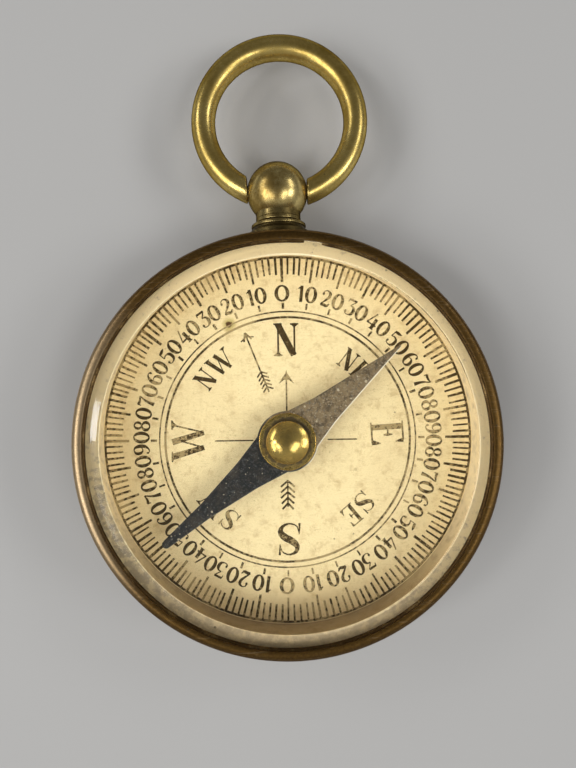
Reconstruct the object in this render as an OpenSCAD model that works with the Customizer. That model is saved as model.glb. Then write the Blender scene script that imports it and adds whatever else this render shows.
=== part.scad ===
// Pocket field compass: a drawn brass cup with a bevelled glass, a paper dial, a needle on a
// steel point, and a bow that swings in a ball pendant. Millimetres, +Z up, +Y towards the
// pendant. The origin is the centre of the flat back, on which the compass lies.

/* [Case] */
// Outside diameter of the cup
case_d = 39.8; // [37:0.1:50]
// Thickness of the cup's side wall
case_wall = 0.45; // [0.35:0.05:0.8]
// Thickness of the cup's floor
floor_t = 0.6; // [0.4:0.05:1]
// Radius of the round outer edge at the bottom
edge_round = 1; // [0.4:0.1:1.4]

/* [Bezel] */
// How far the bezel stands out past the cup's side
bezel_overhang = 0.4; // [0.25:0.05:0.8]
// Length of the skirt that is pressed over the cup's rim
bezel_skirt_h = 0.75; // [0.4:0.05:1.2]
// Radius of the bezel's round upper edge
bezel_round = 0.8; // [0.7:0.05:1]
// How far the lip reaches in over the retaining wire
lip_cover = 0.3; // [0.15:0.05:0.4]
// Radius of the fine lines turned round the bezel
turned_line_r = 0.07; // [0.04:0.01:0.12]
// Angle up the round edge at which the upper line is turned
turned_line_angle = 50; // [35:1:65]

/* [Glass] */
// Thickness of the glass at its middle
glass_t = 1.15; // [1.05:0.05:2.4]
// Height of the upright edge of the glass
glass_edge_h = 0.85; // [0.6:0.05:1.3]
// Width of the ground bevel, measured outwards
bevel_w = 1.45; // [1:0.05:3]
// Clearance round the glass
glass_fit = 0.05; // [0.02:0.01:0.1]
// Room between the needle's cap and the glass
cap_headroom = 0.7; // [0.3:0.05:1.5]
// Diameter of the split wire that holds the glass down
ring_wire_d = 0.5; // [0.35:0.05:0.6]
// Bearing of the middle of the wire's gap, clockwise from the pendant
ring_gap_bearing = 9.5; // [0:0.5:180]
// Angle that the wire's gap takes up
ring_gap_angle = 5; // [2:0.5:20]

/* [Dial] */
// Height of the dial plate's pressed face above the cup's floor
plate_stand_h = 1.65; // [1.2:0.05:2.5]
// Thickness of the pressed dial plate
plate_t = 0.3; // [0.2:0.05:0.5]
// Thickness of the paper card
card_t = 0.25; // [0.15:0.05:0.5]
// Clearance of the plate, card and rings in the cup
dial_fit = 0.03; // [0.02:0.01:0.1]
// Thickness of the spacer ring that stands on the card
spacer_t = 0.32; // [0.25:0.01:0.5]
// Thickness of the flat ring of card between the spacer and the glass
seat_t = 0.15; // [0.1:0.05:0.3]
// Width of that flat ring
seat_w = 1.27; // [0.8:0.01:1.6]

/* [Pivot] */
// Diameter of the post's tail, riveted through the floor
post_tail_d = 1.6; // [1:0.1:2]
// Diameter of the post's foot on the floor
post_foot_d = 4.4; // [3:0.1:6]
// Thickness of the post's foot
post_foot_t = 0.6; // [0.4:0.05:0.8]
// Diameter of the post between its foot and the plate
post_stem_d = 2.8; // [2.2:0.1:4]
// Diameter of the post's nose in the plate and card
post_nose_d = 1.8; // [1.4:0.1:2]
// How far the nose stands above the printed face
post_nose_h = 0.3; // [0.1:0.05:0.5]
// Diameter of the steel pin
pin_d = 0.7; // [0.5:0.05:0.9]
// Length of the pin's ground point
pin_point_l = 0.6; // [0.4:0.05:0.8]
// Diameter of the blunt end of the point
pin_tip_d = 0.06; // [0.04:0.01:0.1]

/* [Needle] */
// Height of the blade's underside above the printed face
blade_lift = 1.95; // [1.6:0.05:2.6]
// Thickness of the blade
blade_t = 0.3; // [0.2:0.05:0.45]
// Length of the blued end from the pivot
blued_l = 16.3; // [12:0.1:17]
// Length of the bare end from the pivot
bare_l = 14.8; // [12:0.1:17]
// Diameter of the round boss at the blade's middle
boss_d = 6.1; // [6:0.1:7]
// Half width of the blade where it leaves the boss
root_half_w = 2.35; // [2:0.05:2.6]
// Half width of the blade a third of the way out
third_half_w = 1.6; // [1.2:0.05:1.8]
// Half width of the blade two thirds of the way out
outer_half_w = 0.84; // [0.6:0.05:1.1]
// Half width at the blued end, which is round
blued_end_half_w = 0.42; // [0.25:0.01:0.6]
// Half width at the bare end, which is nearly a point
bare_end_half_w = 0.12; // [0.08:0.01:0.3]
// Bearing of the bare end, clockwise from the pendant
needle_bearing = 52.1; // [0:0.1:360]
// Diameter of the cap's flange on the blade
cap_flange_d = 5.7; // [5:0.1:5.9]
// Thickness of the cap's flange
cap_flange_t = 0.25; // [0.15:0.05:0.3]
// Diameter of the cap's drum
cap_drum_d = 4.2; // [3.4:0.1:4.4]
// Height of the cap above the blade
cap_h = 1.85; // [1.6:0.05:2.2]
// Height of the cap's domed top
cap_dome_h = 0.7; // [0.4:0.05:0.9]
// Diameter of the cap's spigot through the blade
spigot_d = 2.4; // [2.2:0.1:2.8]
// Diameter of the washer that the spigot is spread over
washer_d = 3.8; // [3.2:0.1:4.4]
// Thickness of that washer
washer_t = 0.2; // [0.15:0.05:0.3]
// Diameter of the jewel and of the cap's bore
jewel_d = 1.5; // [1.3:0.05:1.7]
// Height of the jewel
jewel_h = 0.65; // [0.5:0.05:0.7]
// Diameter of the cup in the jewel at its mouth
jewel_cup_d = 1.05; // [0.8:0.05:1.1]
// Depth of the cup in the jewel
jewel_cup_depth = 0.26; // [0.15:0.01:0.3]
// Gap between the point and the bottom of the jewel's cup
point_gap = 0.04; // [0.02:0.01:0.06]

/* [Pendant] */
// Gap between the collar and the bezel's skirt above it
collar_gap = 0.15; // [0.05:0.05:0.6]
// Diameter of the collar against the cup
collar_foot_d = 6; // [5.2:0.1:6.2]
// Length of the collar's straight foot
collar_foot_l = 1.2; // [0.8:0.05:1.5]
// Diameter of the collar's outer end
collar_top_d = 5.3; // [5.2:0.1:5.6]
// Height of the collar from the cup's side to the lip
collar_h = 1.55; // [1.4:0.05:1.8]
// Diameter of the lip at the foot of the neck
neck_lip_d = 5.5; // [5.2:0.1:5.8]
// Length of the lip
neck_lip_l = 0.35; // [0.2:0.05:0.5]
// Diameter of the groove above the lip
neck_groove_d = 4.2; // [3.6:0.1:4.4]
// Length of the groove
neck_groove_l = 0.2; // [0.15:0.05:0.4]
// Diameter of the neck
neck_d = 4.5; // [4:0.1:4.7]
// Length of the neck from the groove to the ball's centre
neck_l = 3.05; // [2.6:0.05:4]
// Diameter of the ball
ball_d = 6.1; // [5.8:0.1:6.6]
// Distance between the flats that the bow's ends face
ball_flats = 5.95; // [5:0.05:6]
// Diameter of the tail riveted inside the cup's wall
tail_d = 2.4; // [1.6:0.1:3]
// How far the tail's head is spread past the tail
rivet_spread = 0.2; // [0.1:0.05:0.3]

/* [Bow] */
// Diameter of the bow's wire
bow_wire_d = 2.42; // [2:0.02:2.6]
// Radius of the bow along the middle of the wire
bow_r = 7.72; // [7:0.01:9]
// How far past the ball's centre the middle of the wire ends
bow_end_offset = 0.25; // [0:0.05:0.4]
// How far the bow droops as it lies, in degrees
bow_droop = 2; // [0:0.5:8]
// Diameter of the bow's end pins
bow_pin_d = 1.4; // [1:0.05:1.6]
// How far the pins reach into the ball
bow_pin_l = 1.4; // [0.8:0.05:1.6]
// Radial clearance of the pins in the ball
bow_pin_fit = 0.05; // [0.02:0.01:0.08]
// Gap between the bow's ends and the ball's flats
bow_side_gap = 0.04; // [0.02:0.01:0.1]

/* [Hidden] */
$fn = 128;

// Clearance of a press fit, so that solids meet without sharing metal
press_fit = 0.01;
// How far a cutting solid runs past what it cuts
past = 1;
// A length past the part in every direction
far = 2 * case_d;
// Step of the arc that rounds the blade's blued end
round_step = 15;

// Radii of the cup and its rings
case_r = case_d / 2;
case_in_r = case_r - case_wall;
bezel_r = case_r + bezel_overhang;
ring_out_r = case_in_r - dial_fit;
spacer_in_r = ring_out_r - spacer_t;
seat_in_r = ring_out_r - seat_w;
glass_r = case_in_r - glass_fit;

// Dial stack, from the floor up
plate_z = floor_t + plate_stand_h;
card_z = plate_z + plate_t;
dial_z = card_z + card_t;

// Pivot, from the floor up
foot_top_z = floor_t + post_foot_t;
nose_top_z = dial_z + post_nose_h;
pin_foot_z = floor_t + post_foot_t / 2;

// Needle, from the blade up
blade_z = dial_z + blade_lift;
blade_top_z = blade_z + blade_t;
washer_z = blade_z - washer_t;
cap_top_z = blade_top_z + cap_h;
dome_z = cap_top_z - cap_dome_h;
dome_r = (pow(cap_drum_d / 2, 2) + pow(cap_dome_h, 2)) / (2 * cap_dome_h);
jewel_z = dome_z - jewel_h;
pin_top_z = jewel_z + jewel_cup_depth - point_gap;

// Glass and the cup's rim, from the room over the cap up
glass_z = cap_top_z + cap_headroom;
seat_z = glass_z - seat_t;
glass_edge_z = glass_z + glass_edge_h;
glass_top_z = glass_z + glass_t;
bevel_slope = (glass_t - glass_edge_h) / bevel_w;
case_h = glass_edge_z + glass_fit;

// The retaining wire lies in the corner of the bezel's bore and the bevel
ring_wire_r = ring_wire_d / 2;
bezel_bore_r = case_in_r + glass_fit;
ring_r = bezel_bore_r - ring_wire_r;
ring_z = glass_edge_z + (glass_r - ring_r) * bevel_slope
    + (ring_wire_r + press_fit) * sqrt(1 + bevel_slope * bevel_slope);

// Bezel
skirt_z = case_h - bezel_skirt_h;
lip_r = bezel_bore_r - lip_cover;
rim_centre_r = bezel_r - bezel_round;
rim_centre_z = case_h + glass_fit;

// Pendant, outwards from the cup
pendant_z = skirt_z - collar_gap - collar_foot_d / 2;
collar_top_y = case_r + collar_h;
lip_top_y = collar_top_y + neck_lip_l;
groove_top_y = lip_top_y + neck_groove_l;
ball_y = groove_top_y + neck_l;

// Bow
bow_wire_r = bow_wire_d / 2;
bow_end_x = ball_flats / 2 + bow_side_gap;
bow_reach = sqrt(bow_r * bow_r - bow_end_x * bow_end_x) + bow_end_offset;
bow_end_angle = asin((bow_end_x - bow_wire_r) / bow_r);
bow_pin_end_x = ball_flats / 2 - bow_pin_l;
bow_pin_root_x = bow_end_x + bow_wire_r / 2;
socket_end_x = bow_pin_end_x - bow_side_gap;

// Right-hand side of one arm of the blade, from the boss outwards along +Y
function arm_side(length, end_half_w) = [
    [root_half_w, (boss_d - root_half_w) / 2],
    [third_half_w, length / 3],
    [outer_half_w, length * 2 / 3],
    [end_half_w, length]
];

// Quarter circle that rounds the end of an arm
function end_arc(length, r) = [
    for (angle = [round_step : round_step : 90 - round_step])
        [r * cos(angle), length + r * sin(angle)]
];

function scaled(points, x, y) = [for (p = points) [p[0] * x, p[1] * y]];

function reversed(points) = [for (i = [len(points) - 1 : -1 : 0]) points[i]];

// Outline of the blade, the bare arm along +Y and the blued arm along -Y
bare_side = arm_side(bare_l, bare_end_half_w);
blued_arm_l = blued_l - blued_end_half_w;
blued_side = concat(
    arm_side(blued_arm_l, blued_end_half_w),
    end_arc(blued_arm_l, blued_end_half_w)
);
blade_outline = concat(
    bare_side,
    reversed(scaled(bare_side, -1, 1)),
    scaled(blued_side, -1, -1),
    reversed(scaled(blued_side, 1, -1))
);

// A ring of the given radii between two heights
module ring(outer, inner, low, high) {
    translate([0, 0, low])
        difference() {
            cylinder(r = outer, h = high - low);
            translate([0, 0, -past])
                cylinder(r = inner, h = high - low + 2 * past);
        }
}

// Stands its children's Z axis along +Y, on the pendant's axis
module on_pendant(y = 0) {
    translate([0, y, pendant_z])
        rotate([-90, 0, 0])
            children();
}

// The space of a cylinder of the cup, which trims what would reach into it
module cup_space(r) {
    translate([0, 0, -past])
        cylinder(r = r, h = case_h + 2 * past);
}

// Tail of the pendant, spread into a head that ends flush inside the cup's wall
module riveted_tail() {
    on_pendant()
        cylinder(d = tail_d, h = collar_top_y);
    on_pendant(case_in_r - rivet_spread)
        cylinder(d1 = tail_d + 4 * rivet_spread, d2 = tail_d, h = 2 * rivet_spread);
}

// Drawn brass cup with a round bottom edge
module case_body() {
    color("#6b5a33")
        difference() {
            rotate_extrude()
                difference() {
                    union() {
                        translate([0, edge_round])
                            square([case_r, case_h - edge_round]);
                        square([case_r - edge_round, case_h]);
                        translate([case_r - edge_round, edge_round])
                            circle(r = edge_round);
                    }
                    translate([0, floor_t])
                        square([case_in_r, case_h]);
                }
            translate([0, 0, -past])
                cylinder(d = post_tail_d, h = floor_t + 2 * past);
            riveted_tail();
        }
}

// Ring pressed over the cup's rim, with a round edge and a lip over the retaining wire
module bezel() {
    color("#5a3f22")
        rotate_extrude()
            difference() {
                union() {
                    translate([case_r + press_fit, skirt_z])
                        square([bezel_overhang - press_fit, rim_centre_z - skirt_z]);
                    intersection() {
                        translate([rim_centre_r, rim_centre_z])
                            circle(r = bezel_round);
                        translate([lip_r, case_h])
                            square([far, far]);
                    }
                }
                translate([0, skirt_z - past])
                    square([bezel_bore_r, ring_z - skirt_z + past]);
                translate([ring_r, ring_z])
                    circle(r = ring_wire_r + press_fit);
                translate([
                    rim_centre_r + bezel_round * cos(turned_line_angle),
                    rim_centre_z + bezel_round * sin(turned_line_angle)
                ])
                    circle(r = turned_line_r);
                translate([bezel_r, case_h - turned_line_r])
                    circle(r = turned_line_r);
            }
}

// Split spring wire that holds the glass down on its bevel
module retaining_wire() {
    color("#7a5a30")
        rotate([0, 0, 90 - ring_gap_bearing + ring_gap_angle / 2])
            rotate_extrude(angle = 360 - ring_gap_angle)
                translate([ring_r, ring_z])
                    circle(r = ring_wire_r);
}

// Flat glass with a shallow ground bevel
module crystal() {
    color("#cfe0dc", 0.35)
        rotate_extrude()
            polygon([
                [0, glass_z],
                [glass_r, glass_z],
                [glass_r, glass_edge_z],
                [glass_r - bevel_w, glass_top_z],
                [0, glass_top_z]
            ]);
}

// Flat ring of blotched card that the glass rests on, seen through the bevel
module glass_seat() {
    color("#d8c9a2")
        ring(ring_out_r, seat_in_r, seat_z, glass_z);
}

// Plain ring that stands on the dial card and carries the seat
module spacer_ring() {
    color("#c9b07a")
        ring(ring_out_r, spacer_in_r, dial_z, seat_z);
}

// Paper dial
module dial_card() {
    color("#e8d9a8")
        ring(ring_out_r, post_nose_d / 2, card_z, dial_z);
}

// Pressed plate whose turned-down rim stands on the floor
module dial_plate() {
    color("#8a744a")
        difference() {
            translate([0, 0, floor_t])
                cylinder(r = ring_out_r, h = card_z - floor_t);
            translate([0, 0, floor_t - past])
                cylinder(r = ring_out_r - plate_t, h = plate_z - floor_t + past);
            cylinder(d = post_nose_d, h = far);
        }
}

// Turned post, riveted through the floor, that carries the pin
module pivot_post() {
    color("#a98b45")
        difference() {
            union() {
                cylinder(d = post_tail_d, h = floor_t);
                translate([0, 0, floor_t])
                    cylinder(d = post_foot_d, h = post_foot_t);
                translate([0, 0, foot_top_z])
                    cylinder(d = post_stem_d, h = plate_z - foot_top_z);
                translate([0, 0, plate_z])
                    cylinder(d = post_nose_d, h = nose_top_z - plate_z);
            }
            translate([0, 0, pin_foot_z])
                cylinder(d = pin_d, h = far);
        }
}

// Steel pin with a ground point
module pivot_pin() {
    color("#9a9a9a") {
        translate([0, 0, pin_foot_z])
            cylinder(d = pin_d, h = pin_top_z - pin_point_l - pin_foot_z);
        translate([0, 0, pin_top_z - pin_point_l])
            cylinder(d1 = pin_d, d2 = pin_tip_d, h = pin_point_l);
    }
}

// Flat steel blade: the blued end is round, the bare end nearly a point
module needle_blade() {
    color("#3f4650")
        rotate([0, 0, -needle_bearing])
            translate([0, 0, blade_z])
                linear_extrude(blade_t)
                    difference() {
                        union() {
                            circle(d = boss_d);
                            polygon(blade_outline);
                        }
                        circle(d = spigot_d);
                    }
}

// Domed brass cap, whose spigot passes through the blade and the washer
module needle_cap() {
    color("#c9a94e")
        difference() {
            union() {
                translate([0, 0, washer_z])
                    cylinder(d = spigot_d, h = blade_top_z - washer_z);
                translate([0, 0, blade_top_z])
                    cylinder(d = cap_flange_d, h = cap_flange_t);
                translate([0, 0, blade_top_z])
                    cylinder(d = cap_drum_d, h = dome_z - blade_top_z);
                intersection() {
                    translate([0, 0, cap_top_z - dome_r])
                        sphere(r = dome_r);
                    translate([0, 0, dome_z])
                        cylinder(d = cap_drum_d, h = cap_dome_h);
                }
            }
            translate([0, 0, washer_z - past])
                cylinder(d = jewel_d, h = dome_z - washer_z + past);
        }
}

// Brass washer under the blade, over which the spigot is spread
module needle_washer() {
    color("#b08f48")
        ring(washer_d / 2, spigot_d / 2, washer_z, blade_z);
}

// Agate jewel with a cup that turns on the pin's point
module needle_jewel() {
    color("#7a3b2a")
        difference() {
            translate([0, 0, jewel_z])
                cylinder(d = jewel_d, h = jewel_h);
            translate([0, 0, jewel_z - jewel_cup_depth])
                cylinder(
                    d1 = 2 * jewel_cup_d - pin_tip_d,
                    d2 = pin_tip_d,
                    h = 2 * jewel_cup_depth
                );
        }
}

// Flared collar, shaped to the cup's side
module pendant_collar() {
    color("#6f6034")
        difference() {
            union() {
                on_pendant(case_r - collar_foot_l)
                    cylinder(d = collar_foot_d, h = 2 * collar_foot_l);
                on_pendant(case_r + collar_foot_l)
                    cylinder(
                        d1 = collar_foot_d,
                        d2 = collar_top_d,
                        h = collar_h - collar_foot_l
                    );
            }
            cup_space(case_r);
            on_pendant()
                cylinder(d = tail_d, h = far);
        }
}

// Ball, neck and tail turned in one piece, with a socket in each flat for the bow
module pendant_ball() {
    color("#8c7a3c")
        difference() {
            union() {
                riveted_tail();
                on_pendant(collar_top_y)
                    cylinder(d = neck_lip_d, h = neck_lip_l);
                on_pendant(lip_top_y)
                    cylinder(d = neck_groove_d, h = neck_groove_l);
                on_pendant(groove_top_y)
                    cylinder(d = neck_d, h = ball_y - groove_top_y);
                intersection() {
                    on_pendant(ball_y)
                        sphere(d = ball_d);
                    translate([-ball_flats / 2, 0, -far])
                        cube([ball_flats, far, 2 * far]);
                }
            }
            cup_space(case_in_r);
            for (side = [-1, 1])
                translate([side * socket_end_x, ball_y, pendant_z])
                    rotate([0, side * 90, 0])
                        cylinder(d = bow_pin_d + 2 * bow_pin_fit, h = far);
        }
}

// Round wire bent to a ring, with its ends cut flat and turned down to pins
module bow() {
    color("#a8862f")
        translate([0, ball_y, pendant_z])
            rotate([-bow_droop, 0, 0]) {
                difference() {
                    translate([0, bow_reach, 0])
                        rotate([0, 0, bow_end_angle - 90])
                            rotate_extrude(angle = 360 - 2 * bow_end_angle)
                                translate([bow_r, 0])
                                    circle(r = bow_wire_r);
                    translate([-bow_end_x, -far / 2, -far / 2])
                        cube([2 * bow_end_x, far / 2 + bow_reach, far]);
                }
                for (side = [-1, 1])
                    translate([side * bow_pin_end_x, 0, 0])
                        rotate([0, side * 90, 0])
                            cylinder(d = bow_pin_d, h = bow_pin_root_x - bow_pin_end_x);
            }
}

case_body();
bezel();
retaining_wire();
crystal();
glass_seat();
spacer_ring();
dial_card();
dial_plate();
pivot_post();
pivot_pin();
needle_blade();
needle_cap();
needle_washer();
needle_jewel();
pendant_collar();
pendant_ball();
bow();
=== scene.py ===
"""Looks of the pocket field compass: its visible pieces, their finishes, the camera and the light.

Sizes in the classes below are millimetres, and meshes are put into the scene in metres. Bearings
are degrees, clockwise from the pendant as the dial is read. Every surface is worked out with numpy
as a whole array of points.
"""
import logging
import math
from dataclasses import dataclass, field
from enum import Enum
from typing import Callable, Optional, Sequence, Union

import bpy
import numpy as np
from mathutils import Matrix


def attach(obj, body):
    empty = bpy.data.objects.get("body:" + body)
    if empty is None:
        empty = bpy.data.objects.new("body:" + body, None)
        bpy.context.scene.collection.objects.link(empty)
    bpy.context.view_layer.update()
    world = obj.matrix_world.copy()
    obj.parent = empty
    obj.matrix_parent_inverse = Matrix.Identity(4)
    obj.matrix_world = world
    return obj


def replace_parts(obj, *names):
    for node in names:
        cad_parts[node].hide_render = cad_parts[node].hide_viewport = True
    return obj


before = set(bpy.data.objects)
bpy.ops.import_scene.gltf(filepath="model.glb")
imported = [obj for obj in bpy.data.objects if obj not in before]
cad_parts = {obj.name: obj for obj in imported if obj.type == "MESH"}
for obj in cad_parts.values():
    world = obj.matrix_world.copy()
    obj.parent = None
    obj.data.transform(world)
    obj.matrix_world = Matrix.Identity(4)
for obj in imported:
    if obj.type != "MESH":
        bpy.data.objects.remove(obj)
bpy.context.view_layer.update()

LOG = logging.getLogger("compass")
MM = 0.001
Array = np.ndarray
Pair = tuple[float, float]
Triple = tuple[float, float, float]
Colour = Triple
Corner = Triple
Socket = bpy.types.NodeSocket
Value = Union["Signal", float, Sequence[float]]
Inputs = dict[Union[int, str], Value]
Signals = dict[str, "Signal"]

# Share of its shorter edge that a rounded corner may take, and how much of that its arc may
CORNER_ROOM = 0.48
ARC_ROOM = 0.85
# Most that a corner's arc turns between two points, in radians
ARC_STEP = 0.22
# How far beyond its arc a corner's last points lie, in its own radii
ARC_SPARE = 0.4
# Radius below which a point of a turned profile is on its axis
ON_AXIS = 1e-6


class Body(Enum):
    """Rigid bodies that the pieces ride on."""

    CASE = "case"
    NEEDLE = "needle"
    BOW = "bow"


class Axis(Enum):
    """Axes that a profile is turned about."""

    X = 0
    Y = 1
    Z = 2


# Shapes


@dataclass
class Profile:
    """An outline, and for each point how far it is a convex edge (1) or a grimy corner (-1)."""

    points: Array
    edge: Array
    closed: bool


def rounded(corners: Sequence[Corner], closed: bool = True) -> Profile:
    """Rounds the corners of an outline, each by its own radius.

    A corner of radius r between unit directions a and b, half an angle h apart, starts and ends
    r / tan(h) from its point, round a centre r / sin(h) along their bisector. The arc is the
    slerp between its two end radii. Two more points beyond the arc keep flat faces flat.

    Args:
        corners: x, y and radius of each corner; radius 0 leaves a plain point.
        closed: whether the last corner joins the first.

    Returns:
        The rounded outline.
    """
    pts = np.array([c[:2] for c in corners], float)
    after = np.roll(pts, -1, axis=0)
    area = float(np.sum(pts[:, 0] * after[:, 1] - pts[:, 1] * after[:, 0]))
    out: list[Array] = []
    edge: list[Array] = []
    for i, (x, y, radius) in enumerate(corners):
        here = np.array((x, y), float)
        if radius <= 0 or (not closed and i in (0, len(corners) - 1)):
            out.append(here[None])
            edge.append(np.zeros(1))
            continue
        to_last = pts[i - 1] - here
        to_next = pts[(i + 1) % len(pts)] - here
        room = CORNER_ROOM * min(np.linalg.norm(to_last), np.linalg.norm(to_next))
        a = to_last / np.linalg.norm(to_last)
        b = to_next / np.linalg.norm(to_next)
        half = 0.5 * math.acos(float(np.clip(a @ b, -1, 1)))
        reach = min(radius / math.tan(half), ARC_ROOM * room)
        radius = reach * math.tan(half)
        centre = here + (a + b) / np.linalg.norm(a + b) * radius / math.sin(half)
        turn = math.pi - 2 * half
        t = np.linspace(0, 1, max(3, math.ceil(turn / ARC_STEP) + 1))[:, None]
        start, end = here + a * reach - centre, here + b * reach - centre
        arc = centre + (np.sin((1 - t) * turn) * start + np.sin(t * turn) * end) / math.sin(turn)
        spare = min(ARC_SPARE * radius, room - reach)
        before, beyond = here + a * (reach + spare), here + b * (reach + spare)
        sign = math.copysign(1.0, float(a[1] * b[0] - a[0] * b[1]) * area)
        out.append(np.vstack([before, arc, beyond]))
        edge.append(np.concatenate([[0], np.full(len(arc), sign), [0]]))
    return Profile(np.vstack(out), np.concatenate(edge), closed)


def arc_corners(
    centre: Pair, radius: float, start: float, end: float, steps: int
) -> list[Corner]:
    """Plain points along an arc: centre plus radius times (cos, sin) of evenly spaced angles.

    Args:
        centre: Centre of the arc.
        radius: Its radius.
        start: First angle, in degrees.
        end: Last angle, in degrees.
        steps: How many points.

    Returns:
        Corners with no radius of their own.
    """
    a = np.radians(np.linspace(start, end, steps))
    x = centre[0] + radius * np.cos(a)
    y = centre[1] + radius * np.sin(a)
    return [(float(p), float(q), 0.0) for p, q in zip(x, y)]


def grid_quads(rows: int, cols: int, wrap: bool) -> Array:
    """Quads of a grid of points whose columns go round.

    Args:
        rows: How many rows of points.
        cols: How many points in each.
        wrap: Whether the last row joins the first.

    Returns:
        Numbers of the points of each quad, n by 4.
    """
    i = np.arange(rows if wrap else rows - 1)[:, None]
    j = np.arange(cols)[None]
    down, right = (i + 1) % rows, (j + 1) % cols
    quads = [i * cols + j, i * cols + right, down * cols + right, down * cols + j]
    return np.stack(quads, axis=-1).reshape(-1, 4)


@dataclass
class Skin:
    """Closed shells gathered into one mesh, with a few numbers at each point."""

    points: list[Array] = field(default_factory=list)
    faces: list[Array] = field(default_factory=list)
    marks: dict[str, list[Array]] = field(default_factory=dict)
    count: int = 0

    def add(self, points: Array, faces: Sequence[Array], **marks: Array) -> None:
        """Adds a closed shell, turned inside out first if its volume comes out negative.

        Args:
            points: Its points, n by 3, in millimetres.
            faces: Arrays of faces, each n by 3 or n by 4.
            **marks: Numbers at its points, by name.
        """
        volume = 0.0
        for block in faces:
            for k in range(1, block.shape[1] - 1):
                p, q, r = (points[block[:, c]] for c in (0, k, k + 1))
                volume += float(np.einsum("ij,ij->", p, np.cross(q, r)))
        self.points.append(points)
        for block in faces:
            self.faces.append((block if volume > 0 else block[:, ::-1]) + self.count)
        for name, numbers in marks.items():
            self.marks.setdefault(name, []).append(numbers)
        self.count += len(points)

    def tube(
        self, rings: Array, wrap: bool = False, poles: Optional[Array] = None, **marks: Array
    ) -> None:
        """Adds a tube of rings, rows by columns by 3, each end closed to a pole.

        Args:
            rings: The rings' points.
            wrap: Whether the last ring joins the first, which leaves no ends.
            poles: The two end points, or None for the middle of the first and last rings.
            **marks: Numbers at the rings' points, rows by columns, by name.
        """
        rows, cols = rings.shape[:2]
        points = rings.reshape(-1, 3)
        faces = [grid_quads(rows, cols, wrap)]
        if not wrap:
            if poles is None:
                poles = np.stack([rings[0].mean(axis=0), rings[-1].mean(axis=0)])
            points = np.vstack([points, poles])
            j = np.arange(cols)
            n = (j + 1) % cols
            last = (rows - 1) * cols
            first_pole = np.full(cols, rows * cols)
            faces.append(np.stack([first_pole, n, j], axis=-1))
            faces.append(np.stack([first_pole + 1, last + j, last + n], axis=-1))
            marks = {
                name: np.concatenate([m.ravel(), [m[0].mean(), m[-1].mean()]])
                for name, m in marks.items()
            }
        self.add(points, faces, **{name: m.ravel() for name, m in marks.items()})

    def lathe(
        self,
        profile: Profile,
        axis: Axis = Axis.Z,
        centre: Triple = (0, 0, 0),
        steps: int = 192,
    ) -> "Skin":
        """Turns a profile about an axis: radius times (cos, sin) of each angle, height along it.

        Args:
            profile: Radius and height; an end at radius 0 becomes a pole.
            axis: What it turns about.
            centre: A point on the axis.
            steps: How many angles.

        Returns:
            This skin.
        """
        pts, edge = profile.points, profile.edge
        poles = None
        if not profile.closed:
            poles = np.zeros((2, 3))
            poles[:, 2] = pts[[0, -1], 1]
            inner = pts[:, 0] > ON_AXIS
            pts, edge = pts[inner], edge[inner]
        a = np.linspace(0, 2 * math.pi, steps, endpoint=False)
        rings = np.empty((len(pts), steps, 3))
        rings[..., 0] = pts[:, :1] * np.cos(a)
        rings[..., 1] = pts[:, :1] * np.sin(a)
        rings[..., 2] = pts[:, 1:]
        order = {Axis.X: (2, 0, 1), Axis.Y: (0, 2, 1), Axis.Z: (0, 1, 2)}[axis]
        rings = rings[..., order] + np.array(centre, float)
        if poles is not None:
            poles = poles[:, order] + np.array(centre, float)
        self.tube(rings, profile.closed, poles, edge=np.repeat(edge[:, None], steps, axis=1))
        return self

    def plate(self, left: Array, right: Array, low: float, high: float, wrap: bool) -> None:
        """Adds a flat strip of print between two edges, as thick as low to high.

        Args:
            left: Points of one edge, n by 2.
            right: Points of the other.
            low: Height of its underside.
            high: Height of its top.
            wrap: Whether it closes on itself.
        """
        rings = np.empty((len(left), 4, 3))
        rings[:, 0, :2] = rings[:, 1, :2] = left
        rings[:, 2, :2] = rings[:, 3, :2] = right
        rings[:, (0, 3), 2] = low
        rings[:, (1, 2), 2] = high
        faces = [grid_quads(len(left), 4, wrap)]
        if not wrap:
            last = 4 * (len(left) - 1)
            faces.append(np.array([[3, 2, 1, 0], [last, last + 1, last + 2, last + 3]]))
        self.add(rings.reshape(-1, 3), faces)

    def put(
        self, name: str, body: Body, finish: "Finish", sharp: float = 38.0
    ) -> bpy.types.Object:
        """Makes the mesh an object of the scene, riding on a body.

        Args:
            name: Name of the piece.
            body: What it rides on.
            finish: What its surface is.
            sharp: Angle in degrees past which an edge stays sharp.

        Returns:
            The new object.
        """
        mesh = bpy.data.meshes.new(name)
        points = np.concatenate(self.points) * MM
        loops = np.concatenate([block.ravel() for block in self.faces])
        sizes = np.concatenate([np.full(len(b), b.shape[1]) for b in self.faces])
        starts = np.concatenate([[0], np.cumsum(sizes)[:-1]])
        mesh.vertices.add(len(points))
        mesh.vertices.foreach_set("co", points.astype(np.float32).ravel())
        mesh.loops.add(len(loops))
        mesh.loops.foreach_set("vertex_index", loops.astype(np.int32))
        mesh.polygons.add(len(sizes))
        mesh.polygons.foreach_set("loop_start", starts.astype(np.int32))
        mesh.polygons.foreach_set("use_smooth", np.ones(len(sizes), bool))
        for key, blocks in self.marks.items():
            layer = mesh.attributes.new(key, "FLOAT", "POINT")
            layer.data.foreach_set("value", np.concatenate(blocks).astype(np.float32))
        mesh.update(calc_edges=True)
        mesh.validate()
        mesh.set_sharp_from_angle(angle=math.radians(sharp))
        mesh.materials.append(finish.material())
        piece = bpy.data.objects.new(name, mesh)
        bpy.context.scene.collection.objects.link(piece)
        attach(piece, body.value)
        LOG.info("%s: %d faces on %s", name, len(sizes), body.value)
        return piece


# Shader nodes


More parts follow.
